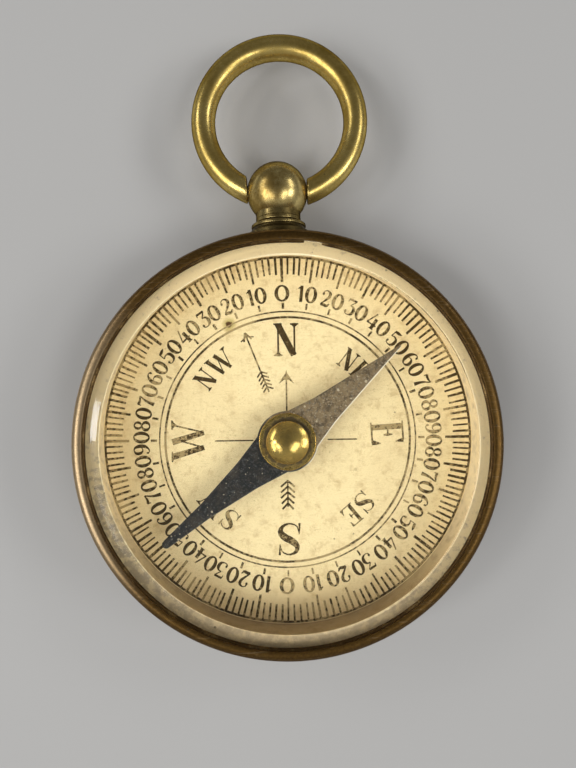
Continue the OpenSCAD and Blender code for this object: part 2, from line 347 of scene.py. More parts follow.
class Signal:
    """What one output of a node carries. Arithmetic on it places Math nodes in its tree."""

    def __init__(self, wires: "Wiring", socket: Socket) -> None:
        """Takes the wiring that places the nodes, and the output."""
        self.wires = wires
        self.socket = socket

    def __add__(self, other: Value) -> "Signal":
        """The sum."""
        return self.wires.math("ADD", self, other)

    def __sub__(self, other: Value) -> "Signal":
        """The difference."""
        return self.wires.math("SUBTRACT", self, other)

    def __rsub__(self, other: Value) -> "Signal":
        """The difference from a number."""
        return self.wires.math("SUBTRACT", other, self)

    def __mul__(self, other: Value) -> "Signal":
        """The product."""
        return self.wires.math("MULTIPLY", self, other)

    def clamped(self) -> "Signal":
        """The same result of a Math node, kept between 0 and 1."""
        self.socket.node.use_clamp = True
        return self


class Wiring:
    """Places the nodes of one tree and joins them."""

    def __init__(self, tree: bpy.types.NodeTree) -> None:
        """Takes the tree to fill."""
        self.tree = tree

    def put(self, kind: str, inputs: Inputs, **settings: object) -> bpy.types.Node:
        """Adds a node.

        Args:
            kind: Type of node, without its ShaderNode prefix.
            inputs: What goes into its inputs, by name or number.
            **settings: Properties of the node.

        Returns:
            The node.
        """
        node = self.tree.nodes.new("ShaderNode" + kind)
        for key, value in settings.items():
            setattr(node, key, value)
        for key, value in inputs.items():
            self.feed(node.inputs[key], value)
        return node

    def get(
        self, kind: str, inputs: Inputs, output: Union[int, str] = 0, **settings: object
    ) -> Signal:
        """Adds a node, as put does, and takes one of its outputs."""
        return Signal(self, self.put(kind, inputs, **settings).outputs[output])

    def feed(self, socket: Socket, value: Value) -> None:
        """Gives an input a link or a constant.

        Args:
            socket: The input.
            value: A signal, a number, a vector, or a colour with or without its alpha.
        """
        if isinstance(value, Signal):
            self.tree.links.new(value.socket, socket)
        elif isinstance(value, (int, float)):
            socket.default_value = float(value)
        elif socket.type == "RGBA":
            socket.default_value = (*value, 1.0)[:4]
        else:
            socket.default_value = tuple(value)

    def math(self, what: str, a: Value, b: Value) -> Signal:
        """A sum or other operation on two numbers."""
        return self.get("Math", {0: a, 1: b}, operation=what)

    def vector(self, what: str, a: Value, b: Value = (0, 0, 0), output: str = "Value") -> Signal:
        """An operation on two places that gives a number, or a place if its output is Vector."""
        return self.get("VectorMath", {0: a, 1: b}, output, operation=what)

    def place(self) -> Signal:
        """The surface's place in the object, in millimetres."""
        where = self.get("TexCoord", {}, "Object")
        return self.vector("MULTIPLY", where, (1 / MM, 1 / MM, 1 / MM), "Vector")

    def flat(self, at: Signal) -> Signal:
        """A place seen from above, with its height taken out."""
        return self.vector("MULTIPLY", at, (1, 1, 0), "Vector")

    def part(self, at: Signal, axis: Axis) -> Signal:
        """A place along one axis."""
        return self.get("SeparateXYZ", {0: at}, axis.value)

    def far(self, at: Signal, spot: Pair = (0, 0)) -> Signal:
        """How far a flat place is from a spot, or from the axis."""
        return self.vector("DISTANCE", at, (*spot, 0))

    def stretched(self, at: Value, turn: float, scale: Sequence[float]) -> Signal:
        """A place turned about Z by degrees and scaled, for grain that runs one way."""
        inputs = {"Vector": at, "Rotation": (0, 0, math.radians(turn)), "Scale": scale}
        return self.get("Mapping", inputs, vector_type="POINT")

    def noise(self, at: Value, scale: Value, detail: float, rough: float) -> Signal:
        """Smooth noise from 0 to 1 at a place in millimetres, scale features to a millimetre."""
        inputs = {"Vector": at, "Scale": scale, "Detail": detail, "Roughness": rough}
        return self.get("TexNoise", inputs)

    def span(self, value: Value, low: Value, high: Value, a: Value = 0.0, b: Value = 1.0) -> Signal:
        """Maps low..high smoothly to a..b, and no further."""
        inputs = {"Value": value, "From Min": low, "From Max": high, "To Min": a, "To Max": b}
        return self.get("MapRange", inputs, interpolation_type="SMOOTHSTEP")

    def mix(self, share: Value, a: Value, b: Value) -> Signal:
        """Mixes two colours, b by its share."""
        return self.get("Mix", {0: share, 6: a, 7: b}, 2, data_type="RGBA")

    def coats(self, ground: Value, *coats: tuple[Value, Value]) -> Signal:
        """Lays coats over a colour in turn.

        Args:
            ground: The colour under them.
            *coats: How much of each covers, and its colour.

        Returns:
            The colour that shows.
        """
        for share, colour in coats:
            ground = self.mix(share, ground, colour)
        return ground

    def greys(self, value: Value, stops: Sequence[Pair]) -> Signal:
        """A ramp of greys.

        Args:
            value: Place along the ramp, from 0 to 1.
            stops: Place and level of each grey.

        Returns:
            The colour there.
        """
        node = self.put("ValToRGB", {0: value})
        elements = node.color_ramp.elements
        while len(elements) < len(stops):
            elements.new(0.5)
        for element, (place, level) in zip(elements, stops):
            element.position = place
            element.color = (level, level, level, 1.0)
        return Signal(self, node.outputs[0])

    def mark(self, name: str) -> Signal:
        """A number stored at the mesh's points."""
        return self.get("Attribute", {}, "Fac", attribute_name=name)

    def bump(self, height: Value, strength: float, distance: float) -> Signal:
        """A normal from a height; distance is in millimetres."""
        inputs = {"Height": height, "Strength": strength, "Distance": distance * MM}
        return self.get("Bump", inputs)


# Effects that several finishes share


@dataclass(frozen=True)
class Effect:
    """A node group whose outputs are numbers that change over the surface."""

    name: str
    inputs: dict[str, Optional[float]]
    body: Callable[[Wiring, Signals], Signals]

    def tree(self) -> bpy.types.NodeTree:
        """Builds the group the first time it is asked for. An input without a number is a vector.

        Returns:
            The group.
        """
        if self.name in bpy.data.node_groups:
            return bpy.data.node_groups[self.name]
        tree = bpy.data.node_groups.new(self.name, "ShaderNodeTree")
        for key, default in self.inputs.items():
            kind = "NodeSocketVector" if default is None else "NodeSocketFloat"
            socket = tree.interface.new_socket(key, in_out="INPUT", socket_type=kind)
            if default is not None:
                socket.default_value = default
        w = Wiring(tree)
        source = tree.nodes.new("NodeGroupInput")
        made = self.body(w, {s.name: Signal(w, s) for s in source.outputs if s.name})
        for key in made:
            tree.interface.new_socket(key, in_out="OUTPUT", socket_type="NodeSocketFloat")
        sink = tree.nodes.new("NodeGroupOutput")
        for key, signal in made.items():
            w.feed(sink.inputs[key], signal)
        return tree

    def use(self, w: Wiring, **inputs: Value) -> Signals:
        """Places the effect in a finish.

        Args:
            w: Wiring of the finish.
            **inputs: Its inputs.

        Returns:
            Its outputs, by name.
        """
        node = w.put("Group", {}, node_tree=self.tree())
        for key, value in inputs.items():
            w.feed(node.inputs[key], value)
        return {s.name: Signal(w, s) for s in node.outputs}


def tarnish(w: Wiring, given: Signals) -> Signals:
    """Patches of tarnish: coarse noise with a finer one on it, cut at the cover.

    Args:
        w: Wiring of the group.
        given: Place, Scale, Cover and Soft.

    Returns:
        The patches and the finer grain.
    """
    coarse = w.noise(given["Place"], given["Scale"], 5.0, 0.6)
    grain = w.noise(given["Place"], given["Scale"] * 14.0, 3.0, 0.65)
    level = 1.0 - given["Cover"]
    low, high = level - given["Soft"], level + given["Soft"]
    return {"Patches": w.span(coarse + (grain - 0.5) * 0.35, low, high), "Grain": grain}


def edge_wear(w: Wiring, given: Signals) -> Signals:
    """Bright worn edges and grimy corners, from the stored edge number broken up by noise.

    Args:
        w: Wiring of the group.
        given: Place, Edge and Scale.

    Returns:
        Where the edges are worn, and where the corners hold grime.
    """
    rub = w.noise(given["Place"], given["Scale"], 4.0, 0.6)
    push = given["Edge"] * 0.6
    return {"Worn": w.span(push + rub, 0.78, 1.15), "Grime": w.span(rub - push, 0.72, 1.1)}


def scratches(w: Wiring, given: Signals) -> Signals:
    """Fine rubbing marks: two noises drawn out long in directions that cross.

    Args:
        w: Wiring of the group.
        given: Place and Scale.

    Returns:
        The marks.
    """
    marks = []
    for turn, long, across in ((27.0, 0.12, 5.0), (-51.0, 0.1, 6.5)):
        line = w.stretched(given["Place"], turn, (long, across, across))
        marks.append(w.span(w.noise(line, given["Scale"], 2.0, 0.6), 0.6, 0.72))
    return {"Marks": w.math("MAXIMUM", *marks)}


def specks(w: Wiring, given: Signals) -> Signals:
    """Dust and specks: spots round the cells' centres, of sizes and numbers drawn from the cell.

    Args:
        w: Wiring of the group.
        given: Place, Scale, Size and Share.

    Returns:
        The specks.
    """
    wobble = w.noise(given["Place"], given["Scale"] * 2.5, 3.0, 0.6)
    cell = w.put("TexVoronoi", {"Vector": given["Place"], "Scale": given["Scale"]})
    drawn = Signal(w, cell.outputs["Color"])
    size = w.get("SeparateColor", {0: drawn}, 1) * given["Size"] * 1.6
    away = Signal(w, cell.outputs["Distance"]) + wobble * 0.12
    chosen = w.math("LESS_THAN", w.get("SeparateColor", {0: drawn}, 0), given["Share"])
    return {"Specks": w.span(size + 0.06 - away, -0.02, 0.05) * chosen}


TARNISH = Effect("tarnish", {"Place": None, "Scale": 0.3, "Cover": 0.5, "Soft": 0.1}, tarnish)
WEAR = Effect("edge wear", {"Place": None, "Edge": 0.0, "Scale": 3.0}, edge_wear)
SCRATCHES = Effect("scratches", {"Place": None, "Scale": 1.0}, scratches)
SPECKS = Effect("specks", {"Place": None, "Scale": 1.0, "Size": 0.2, "Share": 0.5}, specks)


# Finishes


def shaded(colour: Colour, by: float) -> Colour:
    """A colour made so many times as bright."""
    return tuple(by * c for c in colour)


@dataclass(frozen=True)
class Finish:
    """A material; each kind of finish says what goes into its Principled node."""

    name: str

    def material(self) -> bpy.types.Material:
        """Builds the material.

        Returns:
            The material.
        """
        material = bpy.data.materials.new(self.name)
        material.use_nodes = True
        material.node_tree.nodes.clear()
        w = Wiring(material.node_tree)
        shader = w.get("BsdfPrincipled", self.inputs(w, w.place()))
        w.put("OutputMaterial", {0: self.surface(w, shader)})
        return material

    def inputs(self, w: Wiring, at: Signal) -> Inputs:
        """Works out what goes into the Principled node.

        Args:
            w: Wiring of the material.
            at: The surface's place in the object.

        Returns:
            Its inputs, by name.
        """
        raise NotImplementedError(type(self).__name__)

    def surface(self, w: Wiring, shader: Signal) -> Signal:
        """What the surface shows: the Principled node, where a finish adds nothing to it."""
        return shader


@dataclass(frozen=True)
class OldBrass(Finish):
    """Brass gone brown in patches, bright where hands rub its edges, dark in its corners.

    Its rim is how much it still shines where it turns away from the eye. Its left side can carry
    a painted highlight: how far the tarnish thins there, with worn edges fading to the right.
    """

    bright: Colour
    tarnish: Colour
    grime: Colour = (0.035, 0.024, 0.012)
    scale: float = 0.3
    cover: float = 0.5
    soft: float = 0.12
    worn: float = 0.8
    gloss: float = 0.28
    dull: float = 0.5
    metal: float = 0.9
    bumps: float = 0.25
    rubbed_left: float = 0.0
    grain: float = 1.0
    rim: float = 1.0

    def inputs(self, w: Wiring, at: Signal) -> Inputs:
        """Lays tarnish, wear, scratches and pits on the bright metal.

        Args:
            w: Wiring of the material.
            at: The surface's place in the object.

        Returns:
            Inputs of the Principled node.
        """
        patches = TARNISH.use(w, Place=at, Scale=self.scale, Cover=self.cover, Soft=self.soft)
        wear = WEAR.use(w, Place=at, Edge=w.mark("edge"), Scale=2.2)
        marks = SCRATCHES.use(w, Place=at, Scale=1.0)["Marks"]
        pits = SPECKS.use(w, Place=at, Scale=1.7, Size=0.12, Share=0.3)["Specks"]
        brown = patches["Patches"]
        wear_and_sheen = wear["Worn"] * self.worn
        # Painted highlight: tarnish thins on the left side, and worn edges fade towards the right
        if self.rubbed_left:
            side = w.part(at, Axis.X)
            brown *= w.span(side, -20.0, -13.0, 1 - self.rubbed_left, 1.0)
            wear_and_sheen *= w.span(side, -18.0, -6.0, 1.0, 0.2)
        brown = (brown * (1.0 - wear_and_sheen) - marks * 0.18).clamped()
        grain = w.span(patches["Grain"], 0.3, 0.7, 0.0, self.grain)
        tone = w.mix(grain, self.tarnish, shaded(self.tarnish, 0.62))
        metal = w.mix(grain, self.bright, shaded(self.bright, 0.82))
        dirt = w.math("MAXIMUM", wear["Grime"] * 0.9, pits * 0.7)
        rough = w.span(brown, 0.0, 1.0, self.gloss, self.dull) + (patches["Grain"] - 0.5) * 0.08
        height = patches["Grain"] * (0.14 * self.grain) - marks * 0.22 - pits * 0.6
        return {
            "Base Color": w.coats(metal, (brown, tone), (dirt, self.grime)),
            "Metallic": w.span(dirt, 0.0, 1.0, self.metal, 0.35),
            "Roughness": (rough + dirt * 0.25).clamped(),
            "Specular Tint": (self.rim, self.rim, self.rim),
            "Normal": w.bump(height, self.bumps, 0.02),
        }


@dataclass(frozen=True)
class FoxedPaper(Finish):
    """Cream paper, darker towards its edge and at the left, with foxing and one rusty spot.

    A painted shadow darkens it towards the bottom.
    """

    name: str = "foxed paper"
    cream: Colour = (0.9, 0.74, 0.42)
    # tan is also the colour of the painted shadow at the bottom
    tan: Colour = (0.58, 0.4, 0.18)
    fox: Colour = (0.32, 0.19, 0.06)
    rust: Colour = (0.07, 0.02, 0.004)
    halo: Colour = (0.47, 0.36, 0.09)
    spot: Pair = (-5.57, 12.16)
    flecks: tuple[Triple, ...] = (
        (18.81, 2.32, 0.16), (11.24, 2.33, 0.08), (6.42, -10.08, 0.09), (4.4, -10.51, 0.08))

    def inputs(self, w: Wiring, at: Signal) -> Inputs:
        """Tans the paper, paints shadow at its bottom, then lays soil, fibres, specks and rust on
        it.

        Args:
            w: Wiring of the material.
            at: The surface's place in the object.

        Returns:
            Inputs of the Principled node.
        """
        flat = w.flat(at)
        clouds = w.noise(flat, 0.14, 4.0, 0.55)
        fine = w.noise(flat, 1.6, 4.0, 0.7)
        soil = w.noise(flat, 0.75, 6.0, 0.72)
        fibre = w.noise(w.stretched(flat, 12.0, (0.5, 5.0, 1.0)), 1.3, 3.0, 0.7)
        pepper = w.noise(flat, 5.5, 3.0, 0.75)
        dots = SPECKS.use(w, Place=flat, Scale=0.62, Size=0.075, Share=0.42)["Specks"]
        dust = SPECKS.use(w, Place=flat, Scale=2.1, Size=0.09, Share=0.16)["Specks"]
        tan_and_painted_shade = w.span(w.far(flat), 12.0, 18.8, 0.0, 0.04) + (clouds - 0.5) * 0.7
        tan_and_painted_shade += w.span(w.part(flat, Axis.X), -18.0, 6.0, 0.03, 0.0)
        # Painted shadow: the paper darkens towards its bottom edge, as if shaded by the wall
        tan_and_painted_shade += w.span(w.part(flat, Axis.Y), -19.0, -11.0, 0.38, 0.0)
        tan_and_painted_shade += (fine - 0.5) * 0.3
        ragged = w.far(flat, self.spot) + (fine - 0.5) * 0.5
        halo = w.span(ragged, 0.95, 0.3, 0.0, 0.75)
        for x, y, radius in self.flecks:
            fleck = w.far(flat, (x, y)) - (radius - 0.19)
            ragged = w.math("MINIMUM", ragged, fleck + fine * 0.3)
        colour = w.coats(
            self.cream,
            (tan_and_painted_shade.clamped(), self.tan),
            (w.span(soil, 0.48, 0.7, 0.0, 0.6), self.tan),
            (w.span(fibre, 0.54, 0.75, 0.0, 0.25), self.fox),
            (w.span(pepper, 0.57, 0.7, 0.0, 0.5), self.fox),
            (dots * 0.42, self.fox),
            (dust * 0.6, self.fox),
            (halo, self.halo),
            (w.span(ragged, 0.4, 0.22, 0.0, 0.95), self.rust),
        )
        return {
            "Base Color": colour,
            "Roughness": 0.75,
            "Specular IOR Level": 0.25,
            "Normal": w.bump(fine + soil + fibre * 0.6, 0.45, 0.04),
        }


@dataclass(frozen=True)
class WornInk(Finish):
    """Brown-black printer's ink, thin and broken where the paper shows through."""

    ink: Colour = (0.042, 0.025, 0.007)
    bare: Colour = (0.46, 0.34, 0.16)
    thin: float = 0.5

    def inputs(self, w: Wiring, at: Signal) -> Inputs:
        """Breaks the ink up by broad and by fine noise.

        Args:
            w: Wiring of the material.
            at: The surface's place in the object.

        Returns:
            Inputs of the Principled node.
        """
        fine = w.noise(at, 3.4, 4.0, 0.7)
        level = w.noise(at, 0.22, 2.0, 0.5) * 0.45 + fine * 0.65
        start = 0.62 - 0.14 * self.thin
        gone = w.span(level, start, start + 0.1, 0.0, 0.85)
        grey = w.mix(w.span(fine, 0.3, 0.7), self.ink, shaded(self.ink, 1.9))
        return {
            "Base Color": w.mix(gone, grey, self.bare),
            "Roughness": w.span(gone, 0.0, 1.0, 0.6, 0.75),
            "Specular IOR Level": 0.15,
        }


@dataclass(frozen=True)
class BevelledGlass(Finish):
    """Clear old glass with a duller bevel. Shadow rays pass straight through it."""

    name: str = "bevelled glass"
    bevel_r: float = 17.95
    tint: Colour = (0.985, 0.99, 0.975)
    worn: Colour = (0.985, 0.975, 0.95)
    shadow: Colour = (0.975, 0.98, 0.965)

    def inputs(self, w: Wiring, at: Signal) -> Inputs:
        """Smears and scratches the glass, and dulls its bevel unevenly.

        Args:
            w: Wiring of the material.
            at: The surface's place in the object.

        Returns:
            Inputs of the Principled node.
        """
        bevel = w.span(w.far(w.flat(at)), self.bevel_r - 0.06, self.bevel_r + 0.03)
        mottle = w.noise(at, 0.75, 4.0, 0.62)
        smear = w.noise(at, 0.35, 4.0, 0.6)
        marks = SCRATCHES.use(w, Place=at, Scale=0.8)["Marks"]
        rough = w.span(smear, 0.45, 0.8, 0.0, 0.025) + marks * 0.015
        return {
            "Base Color": w.mix(bevel, self.tint, self.worn),
            "Roughness": rough + bevel * w.span(mottle, 0.3, 0.7, 0.05, 0.12),
            "Transmission Weight": 1.0,
            "IOR": 1.52,
        }

    def surface(self, w: Wiring, shader: Signal) -> Signal:
        """Glass, and for shadow rays a clear sheet.

        Args:
            w: Wiring of the material.
            shader: The Principled node's output.

        Returns:
            The two mixed.
        """
        clear = w.get("BsdfTransparent", {0: self.shadow})
        ray = w.get("LightPath", {}, "Is Shadow Ray")
        return w.get("MixShader", {0: ray, 1: shader, 2: clear})


@dataclass(frozen=True)
class NeedleSteel(Finish):
    """Steel blued on one half and bare on the other, dusty, with its ground edges bright.

    The south-east edge of the bare half carries a painted highlight.
    """

    name: str = "needle steel"
    blued: Colour = (0.014, 0.015, 0.017)
    bare: Colour = (0.23, 0.165, 0.09)
    stain: Colour = (0.05, 0.036, 0.022)
    # Bare ground steel, and the colour of the painted edge highlight
    bright: Colour = (0.95, 0.9, 0.75)
    dust: Colour = (0.5, 0.43, 0.3)
    film: Colour = (0.14, 0.11, 0.07)
    slate: Colour = (0.1, 0.104, 0.105)

    def inputs(self, w: Wiring, at: Signal) -> Inputs:
        """Lays film, stains, grit and dust on the two halves, with the ground edges bare.

        The south-east edge of the bare half is painted brighter, as a highlight.

        Args:
            w: Wiring of the material.
            at: The surface's place in the object.

        Returns:
            Inputs of the Principled node.
        """
        cloud = w.noise(at, 0.9, 4.0, 0.6)
        slate = w.noise(at, 2.8, 5.0, 0.75)
        spots = w.noise(at, 1.5, 5.0, 0.7)
        grit = w.noise(at, 5.0, 4.0, 0.8)
        grains = SPECKS.use(w, Place=at, Scale=3.6, Size=0.17, Share=0.5)["Specks"]
        lint = SPECKS.use(w, Place=at, Scale=1.4, Size=0.15, Share=0.6)["Specks"]
        along = w.mark("along") + cloud * 1.2
        worn = w.span(along, -0.5, 1.5, 0.1, 0.7)
        # Bare ground edges, plus a painted highlight strongest on the bare half's south-east edge
        ground = w.span(w.mark("edge"), 0.35, 0.8) * w.span(along, -0.5, 1.5, 0.12, 1.0)
        dusty = w.math("MAXIMUM", grains * 0.55, lint * 0.85) * (1.0 - ground)
        colour = w.coats(
            self.blued,
            (w.span(along, 0.0, 1.4), self.bare),
            (w.span(cloud, 0.4, 0.75, 0.0, 0.25), self.film),
            (w.span(slate, 0.52, 0.64, 0.0, 0.6), self.slate),
            (w.span(spots, 0.44, 0.62) * worn, self.stain),
            (w.span(grit, 0.52, 0.68) * worn, self.dust),
            (ground, self.bright),
            (dusty, self.dust),
        )
        rough = w.span(cloud, 0.3, 0.7, 0.45, 0.6) - ground * 0.22
        return {
            "Base Color": colour,
            "Metallic": w.span(w.math("MAXIMUM", dusty, ground), 0.0, 0.6, 0.6, 0.0),
            "Specular IOR Level": 0.3,
            "Roughness": rough + dusty * 0.3,
            "Normal": w.bump(cloud + dusty, 0.25, 0.02),
        }


@dataclass(frozen=True)
class BlotchedCard(Finish):
    """Cream card under the edge of the glass, blotched lilac-grey by damp, with brown specks."""

    name: str = "blotched card"
    cream: Colour = (1.0, 0.87, 0.58)
    lilac: Colour = (0.42, 0.33, 0.22)
    tan: Colour = (0.6, 0.46, 0.26)
    brown: Colour = (0.13, 0.075, 0.02)
    damp_side: Triple = (-0.35, -0.94, 0.0)

    def inputs(self, w: Wiring, at: Signal) -> Inputs:
        """Blotches the card more towards its damp side, and darkens it with tan towards the bottom.

        Args:
            w: Wiring of the material.
            at: The surface's place in the object.

        Returns:
            Inputs of the Principled node.
        """
        mottle = w.noise(at, 1.3, 5.0, 0.7)
        fine = w.noise(at, 4.0, 4.0, 0.7)
        dots = SPECKS.use(w, Place=at, Scale=1.3, Size=0.12, Share=0.25)["Specks"]
        damp = w.span(w.vector("DOT_PRODUCT", at, self.damp_side), -6.0, 17.0, -0.13, 0.06)
        colour = w.coats(
            self.cream,
            (w.span(mottle + damp, 0.46, 0.62, 0.0, 0.55), self.lilac),
            (w.span(w.part(at, Axis.Y), -20.0, -8.0, 0.6, 0.0), self.tan),
            (w.span(fine, 0.55, 0.75, 0.0, 0.25), self.brown),
            (dots * 0.7, self.brown),
        )
        bumps = w.bump(mottle + fine, 0.4, 0.04)
        return {"Base Color": colour, "Roughness": 0.7, "Normal": bumps}


@dataclass(frozen=True)
class PaleRing(Finish):
    """Pale dull upright ring between the dial and the card under the glass."""

    name: str = "pale ring"
    pale: Colour = (0.88, 0.72, 0.44)
    lilac: Colour = (0.5, 0.4, 0.27)
    # brown is also the colour of the painted shade towards the bottom
    brown: Colour = (0.2, 0.12, 0.035)

    def inputs(self, w: Wiring, at: Signal) -> Inputs:
        """Mottles the ring, and darkens it towards the bottom with painted shade.

        Args:
            w: Wiring of the material.
            at: The surface's place in the object.

        Returns:
            Inputs of the Principled node.
        """
        mottle = w.noise(at, 0.9, 5.0, 0.65)
        fine = w.noise(at, 3.4, 4.0, 0.7)
        colour = w.coats(
            self.pale,
            (w.span(mottle, 0.45, 0.72, 0.0, 0.75), self.lilac),
            (w.span(fine, 0.56, 0.78, 0.0, 0.7), self.brown),
            # Painted shade: browner towards the bottom, where the wall lies in shadow
            (w.span(w.part(at, Axis.Y), -18.0, -4.0, 0.85, 0.0), self.brown),
        )
        rough = w.span(mottle, 0.3, 0.7, 0.45, 0.7)
        return {"Base Color": colour, "Roughness": rough, "Normal": w.bump(fine, 0.3, 0.02)}


@dataclass(frozen=True)
class BandedAgate(Finish):
    """Polished red-brown stone with fine bands."""

    name: str = "banded agate"
    dark: Colour = (0.2, 0.05, 0.025)
    pale: Colour = (0.5, 0.2, 0.11)

    def inputs(self, w: Wiring, at: Signal) -> Inputs:
        """Draws noise out into bands.

        Args:
            w: Wiring of the material.
            at: The surface's place in the object.

        Returns:
            Inputs of the Principled node.
        """
        bands = w.noise(w.stretched(at, 30.0, (1.0, 7.0, 4.0)), 1.2, 3.0, 0.5)
        return {"Base Color": w.mix(bands, self.dark, self.pale), "Roughness": 0.12}


@dataclass(frozen=True)
class PaleFloor(Finish):
    """Plain pale floor with the faintest unevenness."""

    name: str = "pale floor"
    shade: Colour = (0.6, 0.593, 0.58)

    def inputs(self, w: Wiring, at: Signal) -> Inputs:
        """Varies the shade by broad noise.

        Args:
            w: Wiring of the material.
            at: The surface's place in the object.

        Returns:
            Inputs of the Principled node.
        """
        colour = w.mix(w.noise(at, 0.02, 2.0, 0.5), self.shade, shaded(self.shade, 0.96))
        return {"Base Color": colour, "Roughness": 0.8, "Specular IOR Level": 0.2}


# Print


# Points of an oval, and of a dot or serif
OVAL_STEPS = 22
DOT_STEPS = 7
# Thickness of a serif at its tips, in heights of the letter
SERIF_TIP = 0.035


@dataclass(frozen=True)
class Mark:
    """One printed shape: its two edges, n by 2, in heights of the letter."""

    left: Array
    right: Array
    wrap: bool = False

    def bolder(self, by: float) -> "Mark":
        """The same shape, with its edges moved apart about their middle."""
        middle, half = (self.left + self.right) / 2, (self.left - self.right) / 2
        return Mark(middle + half * by, middle - half * by, self.wrap)


def smooth(points: Array, steps: int) -> Array:
    """A Catmull-Rom curve: through each pair of points, with the slope of their neighbours.

    Args:
        points: What it passes through, n by any number of columns.
        steps: How many points to give.

    Returns:
        Points along it.
    """
    p = np.vstack([2 * points[0] - points[1], points, 2 * points[-1] - points[-2]])
    s = np.linspace(0, len(points) - 1, steps)
    i = np.minimum(s.astype(int), len(points) - 2)
    t = (s - i)[:, None]
    a, b, c, d = p[i], p[i + 1], p[i + 2], p[i + 3]
    return 0.5 * (
        2 * b + (c - a) * t + (2 * a - 5 * b + 4 * c - d) * t**2 + (3 * b - a - 3 * c + d) * t**3
    )


def pen(*points: Triple, steps: int = 0) -> Mark:
    """A stroke of a broad pen: half its width to each side of its line, square to it.

    Args:
        *points: x, y and width of the stroke, from end to end.
        steps: Points of a smooth curve through them, or 0 for straight runs.

    Returns:
        The stroke.
    """
    line = np.array(points, float)
    if steps:
        line = smooth(line, steps)
    run = np.gradient(line[:, :2], axis=0)
    run /= np.linalg.norm(run, axis=1, keepdims=True)
    across = np.stack([-run[:, 1], run[:, 0]], axis=1) * line[:, 2:] / 2
    return Mark(line[:, :2] + across, line[:, :2] - across)


def oval(x: float, y: float, half_w: float, half_h: float, side: float, top: float) -> Mark:
    """A ring between two ellipses.

    Args:
        x: Place of its centre across.
        y: Place of its centre up.
        half_w: Half its width.
        half_h: Half its height.
        side: Thickness at its sides.
        top: Thickness at its top and bottom.

    Returns:
        The ring.
    """
    a = np.linspace(0, 2 * math.pi, OVAL_STEPS, endpoint=False)
    unit = np.stack([np.cos(a), np.sin(a)], axis=1)
    centre = np.array((x, y))
    outer = centre + unit * (half_w, half_h)
    inner = centre + unit * (half_w - side, half_h - top)
    return Mark(outer, inner, True)


def blob(x: float, y: float, radius: float) -> Mark:
    """A round dot, as a strip between its upper and lower half circles.

    Args:
        x: Place of its centre across.
        y: Place of its centre up.
        radius: Its radius.

    Returns:
        The dot.
    """
    a = np.radians(np.linspace(172, 8, DOT_STEPS))
    across = x + radius * np.cos(a)
    rise = radius * np.sin(a)
    return Mark(np.stack([across, y + rise], 1), np.stack([across, y - rise], 1))


def serif(x: float, y: float, half: float, depth: float) -> Mark:
    """A bracketed serif on a line: its depth falls off as a power of the distance left to its tip.

    Args:
        x: Place of its middle across.
        y: Height of the line.
        half: Half its width.
        depth: How much thicker it is in the middle; below zero, it hangs from the line.

    Returns:
        The serif.
    """
    across = np.linspace(-1, 1, DOT_STEPS)
    rise = np.sign(depth) * SERIF_TIP + depth * (1 - np.abs(across)) ** 1.6
    flat = np.stack([x + half * across, np.full_like(across, y)], 1)
    return Mark(flat, flat + np.stack([np.zeros_like(across), rise], 1))


def turned(marks: Sequence[Mark], width: float) -> tuple[Mark, ...]:
    """Marks turned half round within a letter of that width and height 1."""
    centre = np.array((width, 1.0))
    return tuple(Mark(centre - m.left, centre - m.right, m.wrap) for m in marks)


